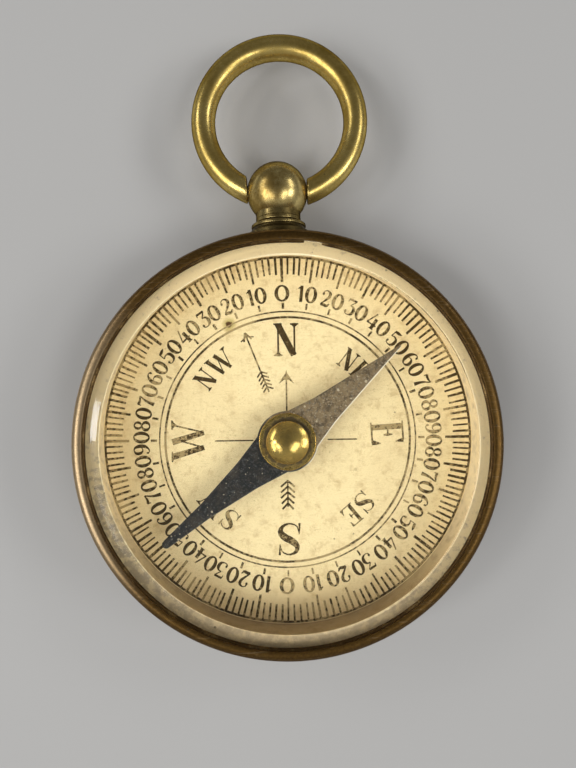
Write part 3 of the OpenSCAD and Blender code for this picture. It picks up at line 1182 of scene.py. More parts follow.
SIX = (
    pen((.56, .86, .07), (.44, .97, .045), (.25, .88, .09), (.12, .64, .15), (.11, .34, .16),
        (.2, .09, .09), (.34, .03, .05), steps=14),
    blob(.54, .86, .065),
    pen((.34, .03, .05), (.5, .11, .1), (.56, .3, .14), (.48, .5, .1), (.34, .57, .045),
        (.18, .48, .035), steps=12),
)
LETTERS: dict[str, tuple[float, tuple[Mark, ...]]] = {
    "0": (.74, (oval(.37, .5, .34, .5, .155, .075),)),
    "O": (.92, (oval(.46, .5, .43, .5, .16, .08),)),
    "1": (.42, (pen((.24, 0, .14), (.24, 1, .14)), pen((.03, .8, .04), (.24, .94, .1)))),
    "2": (.66, (
        pen((.1, .72, .07), (.15, .9, .05), (.34, .97, .06), (.52, .84, .13), (.5, .62, .13),
            (.33, .38, .09), (.15, .18, .06), (.07, .07, .05), steps=16),
        blob(.12, .74, .07),
        pen((.07, .07, .1), (.26, .09, .14), (.46, .05, .12), (.6, .22, .04), steps=8),
    )),
    "3": (.64, (
        pen((.07, .95, .1), (.56, .95, .1)), pen((.08, .97, .04), (.06, .78, .04)),
        pen((.55, .94, .05), (.27, .6, .05)),
        pen((.27, .6, .05), (.46, .57, .08), (.56, .38, .15), (.5, .13, .12), (.32, .03, .05),
            (.13, .06, .05), (.08, .17, .06), steps=16),
        blob(.11, .18, .07),
    )),
    "4": (.68, (
        pen((.34, 1, .07), (.04, .29, .06)), pen((0, .28, .075), (.64, .28, .075)),
        pen((.46, .7, .15), (.46, 0, .15)), serif(.46, 0, .15, .02),
    )),
    "5": (.64, (
        pen((.12, .9, .1), (.34, .93, .13), (.55, .98, .04), steps=7),
        pen((.13, .95, .045), (.11, .54, .045)),
        pen((.11, .54, .04), (.3, .62, .06), (.5, .52, .12), (.55, .31, .15), (.47, .1, .11),
            (.3, .03, .05), (.13, .06, .05), (.08, .18, .06), steps=16),
        blob(.11, .18, .07),
    )),
    "6": (.66, SIX),
    "7": (.62, (
        pen((.05, .93, .13), (.3, .9, .1), (.58, .97, .05), steps=7),
        pen((.05, .98, .045), (.04, .76, .045)),
        pen((.57, .95, .05), (.36, .5, .1), (.28, 0, .17), steps=8),
    )),
    "8": (.66, (oval(.33, .755, .24, .245, .115, .055), oval(.33, .27, .3, .27, .14, .06))),
    "9": (.66, turned(SIX, .66)),
    "N": (.72, (
        pen((.11, .02, .05), (.11, .98, .05)), pen((.61, .02, .05), (.61, .98, .05)),
        pen((.1, .98, .17), (.59, .02, .17)),
        serif(.1, 1, .13, -.08), serif(.11, 0, .13, .1), serif(.61, 1, .13, -.1),
    )),
    "E": (.7, (
        pen((.18, 0, .15), (.18, 1, .15)),
        serif(.18, 0, .16, .03), serif(.18, 1, .16, -.03),
        pen((.18, .975, .05), (.62, .975, .05)), pen((.18, .025, .05), (.66, .025, .05)),
        pen((.18, .52, .045), (.44, .52, .045)),
        pen((.61, .98, .12), (.64, .74, .03)), pen((.64, .02, .14), (.68, .28, .03)),
        pen((.42, .66, .03), (.42, .52, .08), (.42, .38, .03)),
    )),
    "S": (.78, (
        pen((.66, .7, .03), (.6, .88, .035), (.4, .975, .045), (.19, .9, .09), (.14, .72, .14),
            (.3, .56, .19), (.53, .43, .19), (.65, .27, .15), (.57, .1, .08), (.37, .025, .045),
            (.15, .1, .035), (.08, .31, .03), steps=26),
        pen((.68, .99, .06), (.665, .66, .03)), pen((.06, .01, .06), (.075, .35, .03)),
    )),
    "W": (1.26, (
        pen((.14, .98, .17), (.42, 0, .14)), pen((.42, .02, .045), (.63, .74, .045)),
        pen((.59, .98, .17), (.88, 0, .14)), pen((.88, .02, .045), (1.12, .98, .045)),
        serif(.14, 1, .16, -.07), serif(1.12, 1, .14, -.12),
    )),
}


@dataclass
class Dial:
    """Paper dial: two quadrants of degrees each way, the points of the compass and two arrows."""

    face_z: float = 2.8
    card_t: float = 0.25
    card_r: float = 19.42
    nose_r: float = 0.9
    turn: float = 1.6
    ink_h: float = 0.008
    ink_layer: float = 0.0008
    ink_sink: float = 0.004
    scale_r: float = 18.93
    minor_l: float = 1.82
    major_l: float = 2.52
    tick_w: float = 0.235
    major_w: float = 0.28
    tick_taper: float = 0.85
    hand: Triple = (0.1, 0.05, 0.12)
    mark_w: float = 0.8
    figure_r: float = 14.32
    figure_h: float = 1.7
    figure_bold: float = 1.36
    mark_r: Pair = (13.56, 14.2)
    rings: tuple[Pair, ...] = ((18.91, 0.24), (13.27, 0.15), (12.68, 0.23))
    scale_drift: tuple[float, ...] = (-0.71, -0.77, -0.31, -0.19, 0.82, -0.09, -0.1, 0.52, -0.04)
    figure_drift: tuple[float, ...] = (-0.77, -0.83, -0.14, 0.35, 0.87, -0.38, 0.03, 0.19, -0.51)
    point_r: float = 8.66
    point_h: float = 3.38
    point_bold: float = 1.15
    half_point_r: float = 9.2
    half_point_h: float = 2.15
    half_point_bold: float = 1.15
    letters: tuple[tuple[str, float], ...] = (("N", 0), ("E", 86.7), ("S", 180), ("W", 270))
    pairs: tuple[tuple[str, float, float], ...] = (
        ("NE", 42.9, 0.1), ("SE", 135, 0.0), ("SW", 225, 0.0), ("NW", 314.9, 0.3))
    shaft_x: float = -0.05
    shaft_y: Pair = (-2.6, 6.4)
    tip_y: float = 7.2
    tail_y: Pair = (-4.2, -7.0)
    cross_x: tuple[Pair, Pair] = ((-7.55, -3.55), (4.15, 7.2))
    cross_y: float = -0.06
    thin_w: float = 0.17
    feathers: int = 5
    feather_y: float = -4.3
    feather_gap: float = 0.58
    feather_drop: float = 0.62
    small_tail: Pair = (-1.85, 4.95)
    small_tip: Pair = (-4.3, 11.1)
    small_gap: float = 0.42

    @staticmethod
    def drifted(bearing: float, drift: Sequence[float]) -> float:
        """A bearing as it was drawn by hand: off by a mean and a few waves round the dial.

        Args:
            bearing: True bearing in degrees.
            drift: The mean, then the cosine and sine parts of one wave round the dial, of
                two, and so on, in degrees.

        Returns:
            The bearing it is printed at.
        """
        a = math.radians(bearing)
        waves = zip(drift[1::2], drift[2::2])
        return bearing + drift[0] + sum(
            c * math.cos(k * a) + s * math.sin(k * a) for k, (c, s) in enumerate(waves, 1))

    def build(self) -> None:
        """Makes the card and everything printed on it."""
        self.card()
        self.scale()
        self.figures()
        self.points()
        self.arrows()

    def card(self) -> None:
        """The paper disc, with its soft cut edges."""
        low, high = self.face_z - self.card_t, self.face_z
        corners = [(self.nose_r, low, 0), (self.card_r, low, 0.03),
                   (self.card_r, high, 0.03), (self.nose_r, high, 0.02)]
        skin = Skin().lathe(rounded(corners), steps=256)
        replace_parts(skin.put("paper_dial", Body.CASE, FoxedPaper()), "dial_card")

    def stamp(self, skin: Skin, marks: Sequence[Mark], at: Triple, scale: float = 1.0,
              layer: int = 0) -> None:
        """Prints marks: scaled, turned to a bearing and moved out along it.

        Args:
            skin: What gathers them.
            marks: The marks.
            at: x offset and radius, in millimetres, and bearing in degrees.
            scale: Size of one unit of the marks.
            layer: Number of layers of print that lie under them.
        """
        x, out, bearing = at
        b = math.radians(bearing + self.turn)
        spin = np.array([[math.cos(b), -math.sin(b)], [math.sin(b), math.cos(b)]])
        for k, mark in enumerate(marks):
            edges = [(e * scale + (x, out)) @ spin for e in (mark.left, mark.right)]
            top = self.face_z + self.ink_h + self.ink_layer * (k + layer)
            skin.plate(*edges, self.face_z - self.ink_sink, top, mark.wrap)

    def text(self, skin: Skin, word: str, bearing: float, radius: float, height: float,
             gap: float, bold: float = 1.0) -> None:
        """Prints a word round the dial, its tops outwards, each letter at its own bearing.

        Args:
            skin: What gathers it.
            word: Letters of LETTERS.
            bearing: Bearing of the word's middle.
            radius: Radius of the foot of the letters.
            height: Height of the letters.
            gap: Space between letters, in heights.
            bold: How many times as thick its strokes are.
        """
        widths = [LETTERS[c][0] for c in word]
        total = sum(widths) + gap * (len(word) - 1)
        x = -total / 2
        for letter, width in zip(word, widths):
            middle = (x + width / 2) * height
            turn = math.degrees(middle / (radius + height / 2))
            at = (-width / 2 * height, radius, bearing + turn)
            self.stamp(skin, [m.bolder(bold) for m in LETTERS[letter][1]], at, height)
            x += width + gap

    def line(self, skin: Skin, a: Pair, b: Pair, width: float, layer: int = 0) -> None:
        """Prints a straight line between two points of the unturned dial."""
        self.stamp(skin, [pen((*a, width), (*b, width))], (0, 0, 0), layer=layer)

    def scale(self) -> None:
        """The circles, and a tick for every two degrees, longer and thicker at every ten."""
        skin = Skin()
        a = np.linspace(0, 2 * math.pi, 360, endpoint=False)
        unit = np.stack([np.cos(a), np.sin(a)], axis=1)
        for radius, width in self.rings:
            low, high = self.face_z - self.ink_sink, self.face_z + self.ink_h
            skin.plate(unit * (radius + width / 2), unit * (radius - width / 2), low, high, True)
        unsteady = np.random.default_rng(11).normal(0, 1, (180, 3)) * self.hand
        for degree in range(0, 360, 2):
            major = degree % 10 == 0
            length, width = (self.major_l, self.major_w) if major else (self.minor_l, self.tick_w)
            slip, reach, press = unsteady[degree // 2]
            at = self.drifted(degree, self.scale_drift)
            width *= 1 + press
            inner = self.scale_r - length - reach
            tick = pen((0, self.scale_r, width), (0, inner, width * self.tick_taper))
            self.stamp(skin, [tick], (0, 0, at + slip), layer=1)
            if major:
                small = [(0, out, width * self.mark_w) for out in self.mark_r]
                self.stamp(skin, [pen(*small)], (0, 0, at))
        skin.put("dial_scale", Body.CASE, WornInk("scale ink", thin=0.74))

    def figures(self) -> None:
        """Degrees from 0 at both ends of the meridian to 90 at its sides."""
        skin = Skin()
        for degree in range(0, 360, 10):
            value = degree % 180
            value = min(value, 180 - value)
            word = str(value) if value else "O"
            at = self.drifted(degree, self.figure_drift)
            self.text(skin, word, at, self.figure_r, self.figure_h, 0.05, self.figure_bold)
        skin.put("dial_figures", Body.CASE, WornInk("figure ink", thin=0.52))

    def points(self) -> None:
        """The four points and the four between them."""
        skin = Skin()
        bold = self.point_bold
        for word, bearing in self.letters:
            self.text(skin, word, bearing, self.point_r, self.point_h, 0.0, bold)
        bold = self.half_point_bold
        for word, bearing, out in self.pairs:
            foot = self.half_point_r + out
            self.text(skin, word, bearing, foot, self.half_point_h, 0.1, bold)
        skin.put("dial_points", Body.CASE, WornInk("point ink", thin=0.56))

    def arrows(self) -> None:
        """The meridian arrow, the cross lines and the small arrow of the magnetic meridian."""
        skin = Skin()
        x = self.shaft_x
        self.line(skin, *((x, y) for y in self.shaft_y), self.thin_w)
        head = pen((0, 0, 0.02), (0, -0.42, 0.24), (0, -0.72, 0.42), (0, -1.02, 0.62))
        tip = (x, self.tip_y, 0)
        self.stamp(skin, [head], tip, layer=2)
        for side in (-1, 1):
            barb = pen((0, -0.35, 0.16), (side * 0.3, -0.86, 0.26), (side * 0.76, -1.4, 0.03),
                       steps=7)
            self.stamp(skin, [barb], tip, layer=3)
        for k in range(self.feathers):
            y = self.feather_y - self.feather_gap * k
            wide = 0.72 - 0.07 * max(0, k - 2)
            for side in (-1, 1):
                self.line(skin, (x, y), (side * wide + x, y - self.feather_drop), 0.2, 4 + k)
        self.line(skin, *((x, y) for y in self.tail_y), 0.15)
        for a, b in self.cross_x:
            self.line(skin, (a, self.cross_y), (b, self.cross_y), 0.14)
        self.magnetic(skin)
        skin.put("dial_arrows", Body.CASE, WornInk("arrow ink", thin=0.55))

    def magnetic(self, skin: Skin) -> None:
        """The small feathered arrow, drawn along its own shaft from tail to tip."""
        tip, tail = np.array(self.small_tip), np.array(self.small_tail)
        run = (tip - tail) / np.linalg.norm(tip - tail)
        side = np.array((run[1], -run[0]))
        length = float(np.linalg.norm(tip - tail))

        def spot(along: float, across: float) -> Pair:
            """A point so far from the tail and so far to the right of the shaft."""
            return tuple(tail + run * along + side * across)

        self.line(skin, spot(0, 0), spot(length, 0), self.thin_w)
        for s in (-1, 1):
            self.line(skin, spot(length, 0), spot(length - 0.85, s * 0.42), 0.19, 1)
            self.line(skin, spot(length - 0.38, s * -0.12), spot(length - 0.72, s * 0.72), 0.13, 2)
            for k in range(self.feathers):
                back = 0.16 + self.small_gap * k
                root = spot(back + self.small_gap, 0)
                self.line(skin, root, spot(back, s * 0.56), self.thin_w, 3 + k)


# Metalwork


@dataclass
class Housing:
    """Cup, bezel, retaining wire, glass and the two rings that it stands on."""

    case_r: float = 19.9
    wall: float = 0.45
    floor_t: float = 0.6
    height: float = 8.5
    edge_r: float = 1.0
    bezel_r: float = 20.3
    skirt_z: float = 7.75
    round_r: float = 0.8
    round_z: float = 8.55
    lip_r: float = 19.2
    wire_r: float = 0.25
    wire_ring_r: float = 19.25
    wire_z: float = 8.7465
    gap_bearing: float = 9.5
    gap_angle: float = 5.0
    glass_r: float = 19.4
    glass_z: float = 7.6
    glass_edge_z: float = 8.45
    glass_top_z: float = 8.75
    bevel_r: float = 17.95
    seat_z: float = 7.45
    seat_in_r: float = 18.1
    seat_shift: Pair = (0.13, -0.06)
    ring_in_r: float = 19.1
    ring_out_r: float = 19.42
    dial_z: float = 2.8
    tail_r: float = 0.8
    cut_d: float = 0.05
    floor_cut: Triple = (15.6, 15.68, 15.76)
    side_cut: Triple = (1.35, 1.42, 1.49)
    groove_d: float = 0.06
    groove_z: tuple[float, ...] = (8.36, 8.41, 8.45, 8.5)
    groove_turn: tuple[float, ...] = (46, 48.5, 51.5, 54)

    def build(self) -> None:
        """Makes the six pieces."""
        self.cup()
        self.bezel()
        self.wire()
        self.glass()
        self.seat()
        self.spacer()

    def cup(self) -> None:
        """Drawn cup, round at its bottom edge, with fine lines cut below and beside it."""
        inner = self.case_r - self.wall
        cut = (0, self.cut_d, 0)
        corners = [
            (self.tail_r, self.floor_t, 0), (self.tail_r, 0, 0.05),
            *((r, deep, 0) for r, deep in zip(self.floor_cut, cut)),
            (self.case_r, 0, self.edge_r),
            *((self.case_r - deep, z, 0) for z, deep in zip(self.side_cut, cut)),
            (self.case_r, self.height, 0.08), (inner, self.height, 0.08),
            (inner, self.floor_t, 0.3),
        ]
        brass = OldBrass("cup brass", bright=(0.5, 0.34, 0.12), tarnish=(0.17, 0.1, 0.035),
                         scale=0.16, cover=0.56, soft=0.16, gloss=0.34, dull=0.5, bumps=0.2)
        skin = Skin().lathe(rounded(corners), steps=320)
        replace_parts(skin.put("cup", Body.CASE, brass), "case_body")

    def bezel(self) -> None:
        """Round-edged ring, with a groove turned on its round and one under it."""
        centre = (self.bezel_r - self.round_r, self.round_z)
        lip_angle = math.degrees(math.acos((self.lip_r - centre[0]) / self.round_r))
        deep = (0, self.groove_d, self.groove_d, 0)
        first, cut_first, cut_last, last = self.groove_turn
        corners = [
            (self.case_r + 0.01, self.height, 0), (self.case_r + 0.01, self.skirt_z, 0.02),
            (self.bezel_r, self.skirt_z, 0.1),
            *((self.bezel_r - d, z, 0) for z, d in zip(self.groove_z, deep)),
            *arc_corners(centre, self.round_r, 0, first, 12),
            *arc_corners(centre, self.round_r - self.groove_d, cut_first, cut_last, 3),
            *arc_corners(centre, self.round_r, last, lip_angle, 14),
            (self.lip_r, self.wire_z + 0.25, 0.03),
            *arc_corners((self.wire_ring_r, self.wire_z), self.wire_r + 0.01, 80, 5, 8),
            (self.case_r - self.wall + 0.06, self.height, 0),
        ]
        # Its left side carries a painted highlight
        brass = OldBrass("bezel brass", bright=(0.62, 0.46, 0.27), tarnish=(0.15, 0.08, 0.017),
                         scale=0.3, cover=0.85, soft=0.2, worn=0.4, gloss=0.34, dull=0.4,
                         metal=0.85, bumps=0.2, rubbed_left=0.72)
        skin = Skin().lathe(rounded(corners), steps=384)
        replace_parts(skin.put("bezel_ring", Body.CASE, brass), "bezel")

    def wire(self) -> None:
        """Split wire: a circle carried round a circle, from one side of the gap to the other.

        Its first and last rings shrink to round its ends.
        """
        middle = math.radians(90 - self.gap_bearing)
        half = math.radians(self.gap_angle / 2)
        count, rounding = 420, 4
        t = np.linspace(0, 1, count)
        ease = np.minimum(1, np.minimum(t, 1 - t) * count / rounding + 0.35)
        a = middle + half + t * (2 * math.pi - 2 * half)
        b = np.linspace(0, 2 * math.pi, 20, endpoint=False)
        thick = self.wire_r * np.sqrt(1 - (1 - ease) ** 2)
        out = self.wire_ring_r + thick[:, None] * np.cos(b)
        rings = np.stack([
            out * np.cos(a)[:, None],
            out * np.sin(a)[:, None],
            self.wire_z + thick[:, None] * np.sin(b),
        ], axis=-1)
        brass = OldBrass("wire brass", bright=(0.28, 0.18, 0.07), tarnish=(0.1, 0.055, 0.018),
                         scale=0.5, cover=0.6, gloss=0.35, dull=0.5)
        skin = Skin()
        skin.tube(rings, edge=np.zeros(rings.shape[:2]))
        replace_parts(skin.put("glass_wire", Body.CASE, brass), "retaining_wire")

    def glass(self) -> None:
        """Glass with a flat top and a bevel, its arrises just broken."""
        corners = [
            (0, self.glass_z, 0), (self.glass_r, self.glass_z, 0.06),
            (self.glass_r, self.glass_edge_z, 0.05), (self.bevel_r, self.glass_top_z, 0.09),
            (0, self.glass_top_z, 0),
        ]
        skin = Skin().lathe(rounded(corners, closed=False), steps=384)
        piece = skin.put("bevelled_glass", Body.CASE, BevelledGlass(bevel_r=self.bevel_r), 60.0)
        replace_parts(piece, "crystal")

    def seat(self) -> None:
        """Flat card ring with its hole a little off centre: points near the hole shift most."""
        corners = [(self.seat_in_r, self.seat_z, 0.03), (self.ring_out_r, self.seat_z, 0),
                   (self.ring_out_r, self.glass_z, 0), (self.seat_in_r, self.glass_z, 0.05)]
        skin = Skin().lathe(rounded(corners), steps=256)
        points = skin.points[0]
        radius = np.hypot(points[:, 0], points[:, 1])
        share = (self.ring_out_r - radius) / (self.ring_out_r - self.seat_in_r)
        points[:, :2] += np.clip(share, 0, 1)[:, None] * self.seat_shift
        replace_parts(skin.put("card_seat", Body.CASE, BlotchedCard()), "glass_seat")

    def spacer(self) -> None:
        """Plain ring with soft edges."""
        corners = [(self.ring_in_r, self.dial_z, 0.04), (self.ring_out_r, self.dial_z, 0),
                   (self.ring_out_r, self.seat_z, 0), (self.ring_in_r, self.seat_z, 0.08)]
        skin = Skin().lathe(rounded(corners), steps=256)
        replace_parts(skin.put("pale_ring", Body.CASE, PaleRing()), "spacer_ring")


@dataclass
class Pendant:
    """Flared collar, neck and ball, turned about the pendant's axis."""

    y: float = 25.05
    z: float = 4.6
    case_r: float = 19.9
    ball_r: float = 3.05
    socket_r: float = 0.75
    socket_x: float = 1.535
    neck_r: float = 2.25
    lip_r: float = 2.75
    groove_r: float = 2.1
    lip_y: Pair = (21.45, 21.8)
    groove_y: float = 22.0
    foot_r: float = 3.0
    flare_y: float = 20.98
    top_r: float = 2.65
    tail_r: float = 1.2
    tail_in: float = 0.42
    neck_in: float = 1.6
    mouth_in: float = 0.04
    line_d: float = 0.04

    def build(self) -> None:
        """Makes the three pieces."""
        self.ball()
        self.neck()
        self.collar()

    def ball(self) -> None:
        """Ball turned about the bow's axis, with a blind socket at each side."""
        start = math.degrees(math.asin(self.socket_r / self.ball_r))
        mouth = self.ball_r * math.cos(math.radians(start)) - self.mouth_in
        side = arc_corners((0, 0), self.ball_r, 180 - start - 1, start + 1, 72)
        corners = [
            (0, -self.socket_x, 0), (self.socket_r, -self.socket_x, 0.04),
            (self.socket_r, -mouth, 0), *((y, x, r) for x, y, r in side),
            (self.socket_r, mouth, 0), (self.socket_r, self.socket_x, 0.04),
            (0, self.socket_x, 0),
        ]
        brass = OldBrass("ball brass", bright=(0.95, 0.76, 0.32), tarnish=(0.42, 0.28, 0.08),
                         scale=0.3, cover=0.54, soft=0.25, gloss=0.22, dull=0.3, bumps=0.12,
                         grain=0.5, rim=0.0)
        profile = rounded(corners, closed=False)
        skin = Skin().lathe(profile, Axis.X, (0, self.y, self.z), 128)
        piece = skin.put("pendant_ball_turned", Body.CASE, brass)
        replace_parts(piece, "pendant_ball")

    def neck(self) -> None:
        """Neck with a groove and a round lip, and the tail that goes into the cup."""
        start, end = self.lip_y
        tail_y, neck_y = self.case_r - self.tail_in, self.y - self.neck_in
        corners = [
            (0, tail_y, 0), (self.tail_r, tail_y, 0.05),
            (self.tail_r, start, 0.03), (self.lip_r, start, 0.12), (self.lip_r, end, 0.14),
            (self.neck_r + 0.12, end + 0.02, 0.05), (self.groove_r, end + 0.1, 0.05),
            (self.groove_r, self.groove_y, 0.06), (self.neck_r, self.groove_y + 0.05, 0.08),
            (self.neck_r, self.groove_y + 0.36, 0),
            (self.neck_r - self.line_d, self.groove_y + 0.4, 0),
            (self.neck_r, self.groove_y + 0.44, 0), (self.neck_r, neck_y, 0), (0, neck_y, 0),
        ]
        brass = OldBrass("neck brass", bright=(0.46, 0.35, 0.14), tarnish=(0.17, 0.12, 0.04),
                         scale=0.7, cover=0.55, soft=0.15, gloss=0.26, dull=0.42, bumps=0.4,
                         rim=0.0)
        skin = Skin().lathe(rounded(corners, closed=False), Axis.Y, (0, 0, self.z), 128)
        piece = skin.put("pendant_neck", Body.CASE, brass)
        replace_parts(piece, "pendant_ball")

    def collar(self) -> None:
        """Collar that flares in a hollow curve towards its foot, with a bore for the tail.

        Its first and last rings lie just off the cup's side, where y is the root of the case's
        radius squared less x squared.
        """
        a = np.linspace(0, 2 * math.pi, 128, endpoint=False)
        t = np.linspace(0, 1, 9)
        top = self.lip_y[0]
        flare = self.top_r + (self.foot_r - self.top_r) * (1 - t) ** 2.2
        radius = np.concatenate([[self.foot_r] * 3, flare,
                                 [self.top_r, self.top_r - 0.05, self.tail_r, self.tail_r]])
        level = np.concatenate([[0, self.flare_y - 0.55, self.flare_y - 0.12],
                                self.flare_y + 0.85 * (top - self.flare_y) * t,
                                [top - 0.05, top, top, 0]])
        x, up = np.outer(radius, np.cos(a)), np.outer(radius, np.sin(a))
        y = np.repeat(level[:, None], len(a), axis=1)
        y[[0, -1]] = np.sqrt(self.case_r**2 - x[[0, -1]] ** 2) + 0.004
        edge = np.zeros(x.shape)
        edge[0] = -1
        edge[-4:-2] = 0.6
        brass = OldBrass("collar brass", bright=(0.3, 0.22, 0.08), tarnish=(0.09, 0.062, 0.018),
                         scale=0.4, cover=0.7, soft=0.2, gloss=0.32, dull=0.45)
        skin = Skin()
        skin.tube(np.stack([x, y, self.z + up], axis=-1), wrap=True, edge=edge)
        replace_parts(skin.put("pendant_flare", Body.CASE, brass), "pendant_collar")


@dataclass
class Bow:
    """Ring of round wire whose flat ends face the ball, with a pin turned on each."""

    y: float = 25.05
    z: float = 4.6
    radius: float = 7.72
    wire_r: float = 1.21
    end_x: float = 3.015
    reach: float = 7.31
    lean: float = 0.5
    droop: float = 2.0
    pin_r: float = 0.7
    pin_x: float = 1.575
    end_round: float = 0.14
    close_steps: tuple[float, ...] = (0, 0.0008, 0.002, 0.004)

    def wire(self, b: Array) -> Array:
        """The bent wire, before it is turned about the ball.

        Each point of the wire's circle, at angle b, runs round its own circle of radius
        R + r cos b from where that circle meets the plane of the bow's ends on one side to
        where it meets it on the other, so both ends come out flat. The circles' centre is
        off the pendant's axis by the lean. The wire thins to a round edge at each end.

        Args:
            b: Angles round the wire.

        Returns:
            Its rings.
        """
        own = self.radius + self.wire_r * np.cos(b)
        first = np.arcsin((self.end_x - self.lean) / own)
        last = 2 * math.pi - np.arcsin((self.end_x + self.lean) / own)
        t = np.concatenate([self.close_steps, np.linspace(0.008, 0.992, 300),
                            1 - np.array(self.close_steps[::-1])])[:, None]
        a = first + t * (last - first)
        close = np.minimum(t, 1 - t) * 2 * math.pi * self.radius
        left = 1 - np.minimum(close / self.end_round, 1)
        thin = self.wire_r - self.end_round * (1 - np.sqrt(1 - left**2))
        out = self.radius + thin * np.cos(b)
        x = self.lean + out * np.sin(a)
        rings = np.stack([x, self.reach - out * np.cos(a), thin * np.sin(b)], axis=-1)
        rings[0, :, 0], rings[-1, :, 0] = self.end_x, -self.end_x
        return rings

    def pin(self, b: Array) -> Array:
        """The pin turned on the right end, its point a little smaller.

        Args:
            b: Angles round the pin.

        Returns:
            Its rings, from its point to the wire.
        """
        rings = np.empty((3, len(b), 3))
        rings[..., 0] = np.array((self.pin_x, self.end_x - 0.01, self.end_x))[:, None]
        rings[..., 1] = -self.pin_r * np.cos(b)
        rings[..., 2] = self.pin_r * np.sin(b)
        rings[0, :, 1:] *= 0.92
        return rings

    def build(self) -> None:
        """Makes the bow, which an old knock has bent a little to one side, and lays it down."""
        b = np.linspace(0, 2 * math.pi, 56, endpoint=False)
        pin = self.pin(b)
        rings = np.concatenate([pin, self.wire(b), pin[::-1] * (-1, 1, 1)])
        edge = np.zeros(rings.shape[:2])
        edge[3:7] = edge[-7:-3] = 1
        tilt = math.radians(-self.droop)
        y, z = rings[..., 1].copy(), rings[..., 2].copy()
        rings[..., 1] = self.y + y * math.cos(tilt) - z * math.sin(tilt)
        rings[..., 2] = self.z + y * math.sin(tilt) + z * math.cos(tilt)
        brass = OldBrass("bow brass", bright=(0.92, 0.7, 0.24), tarnish=(0.46, 0.31, 0.07),
                         scale=0.22, cover=0.5, soft=0.3, gloss=0.25, dull=0.32, bumps=0.03,
                         grain=0.15, rim=0.0)
        skin = Skin()
        skin.tube(rings, edge=edge)
        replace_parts(skin.put("bow_wire", Body.BOW, brass), "bow")


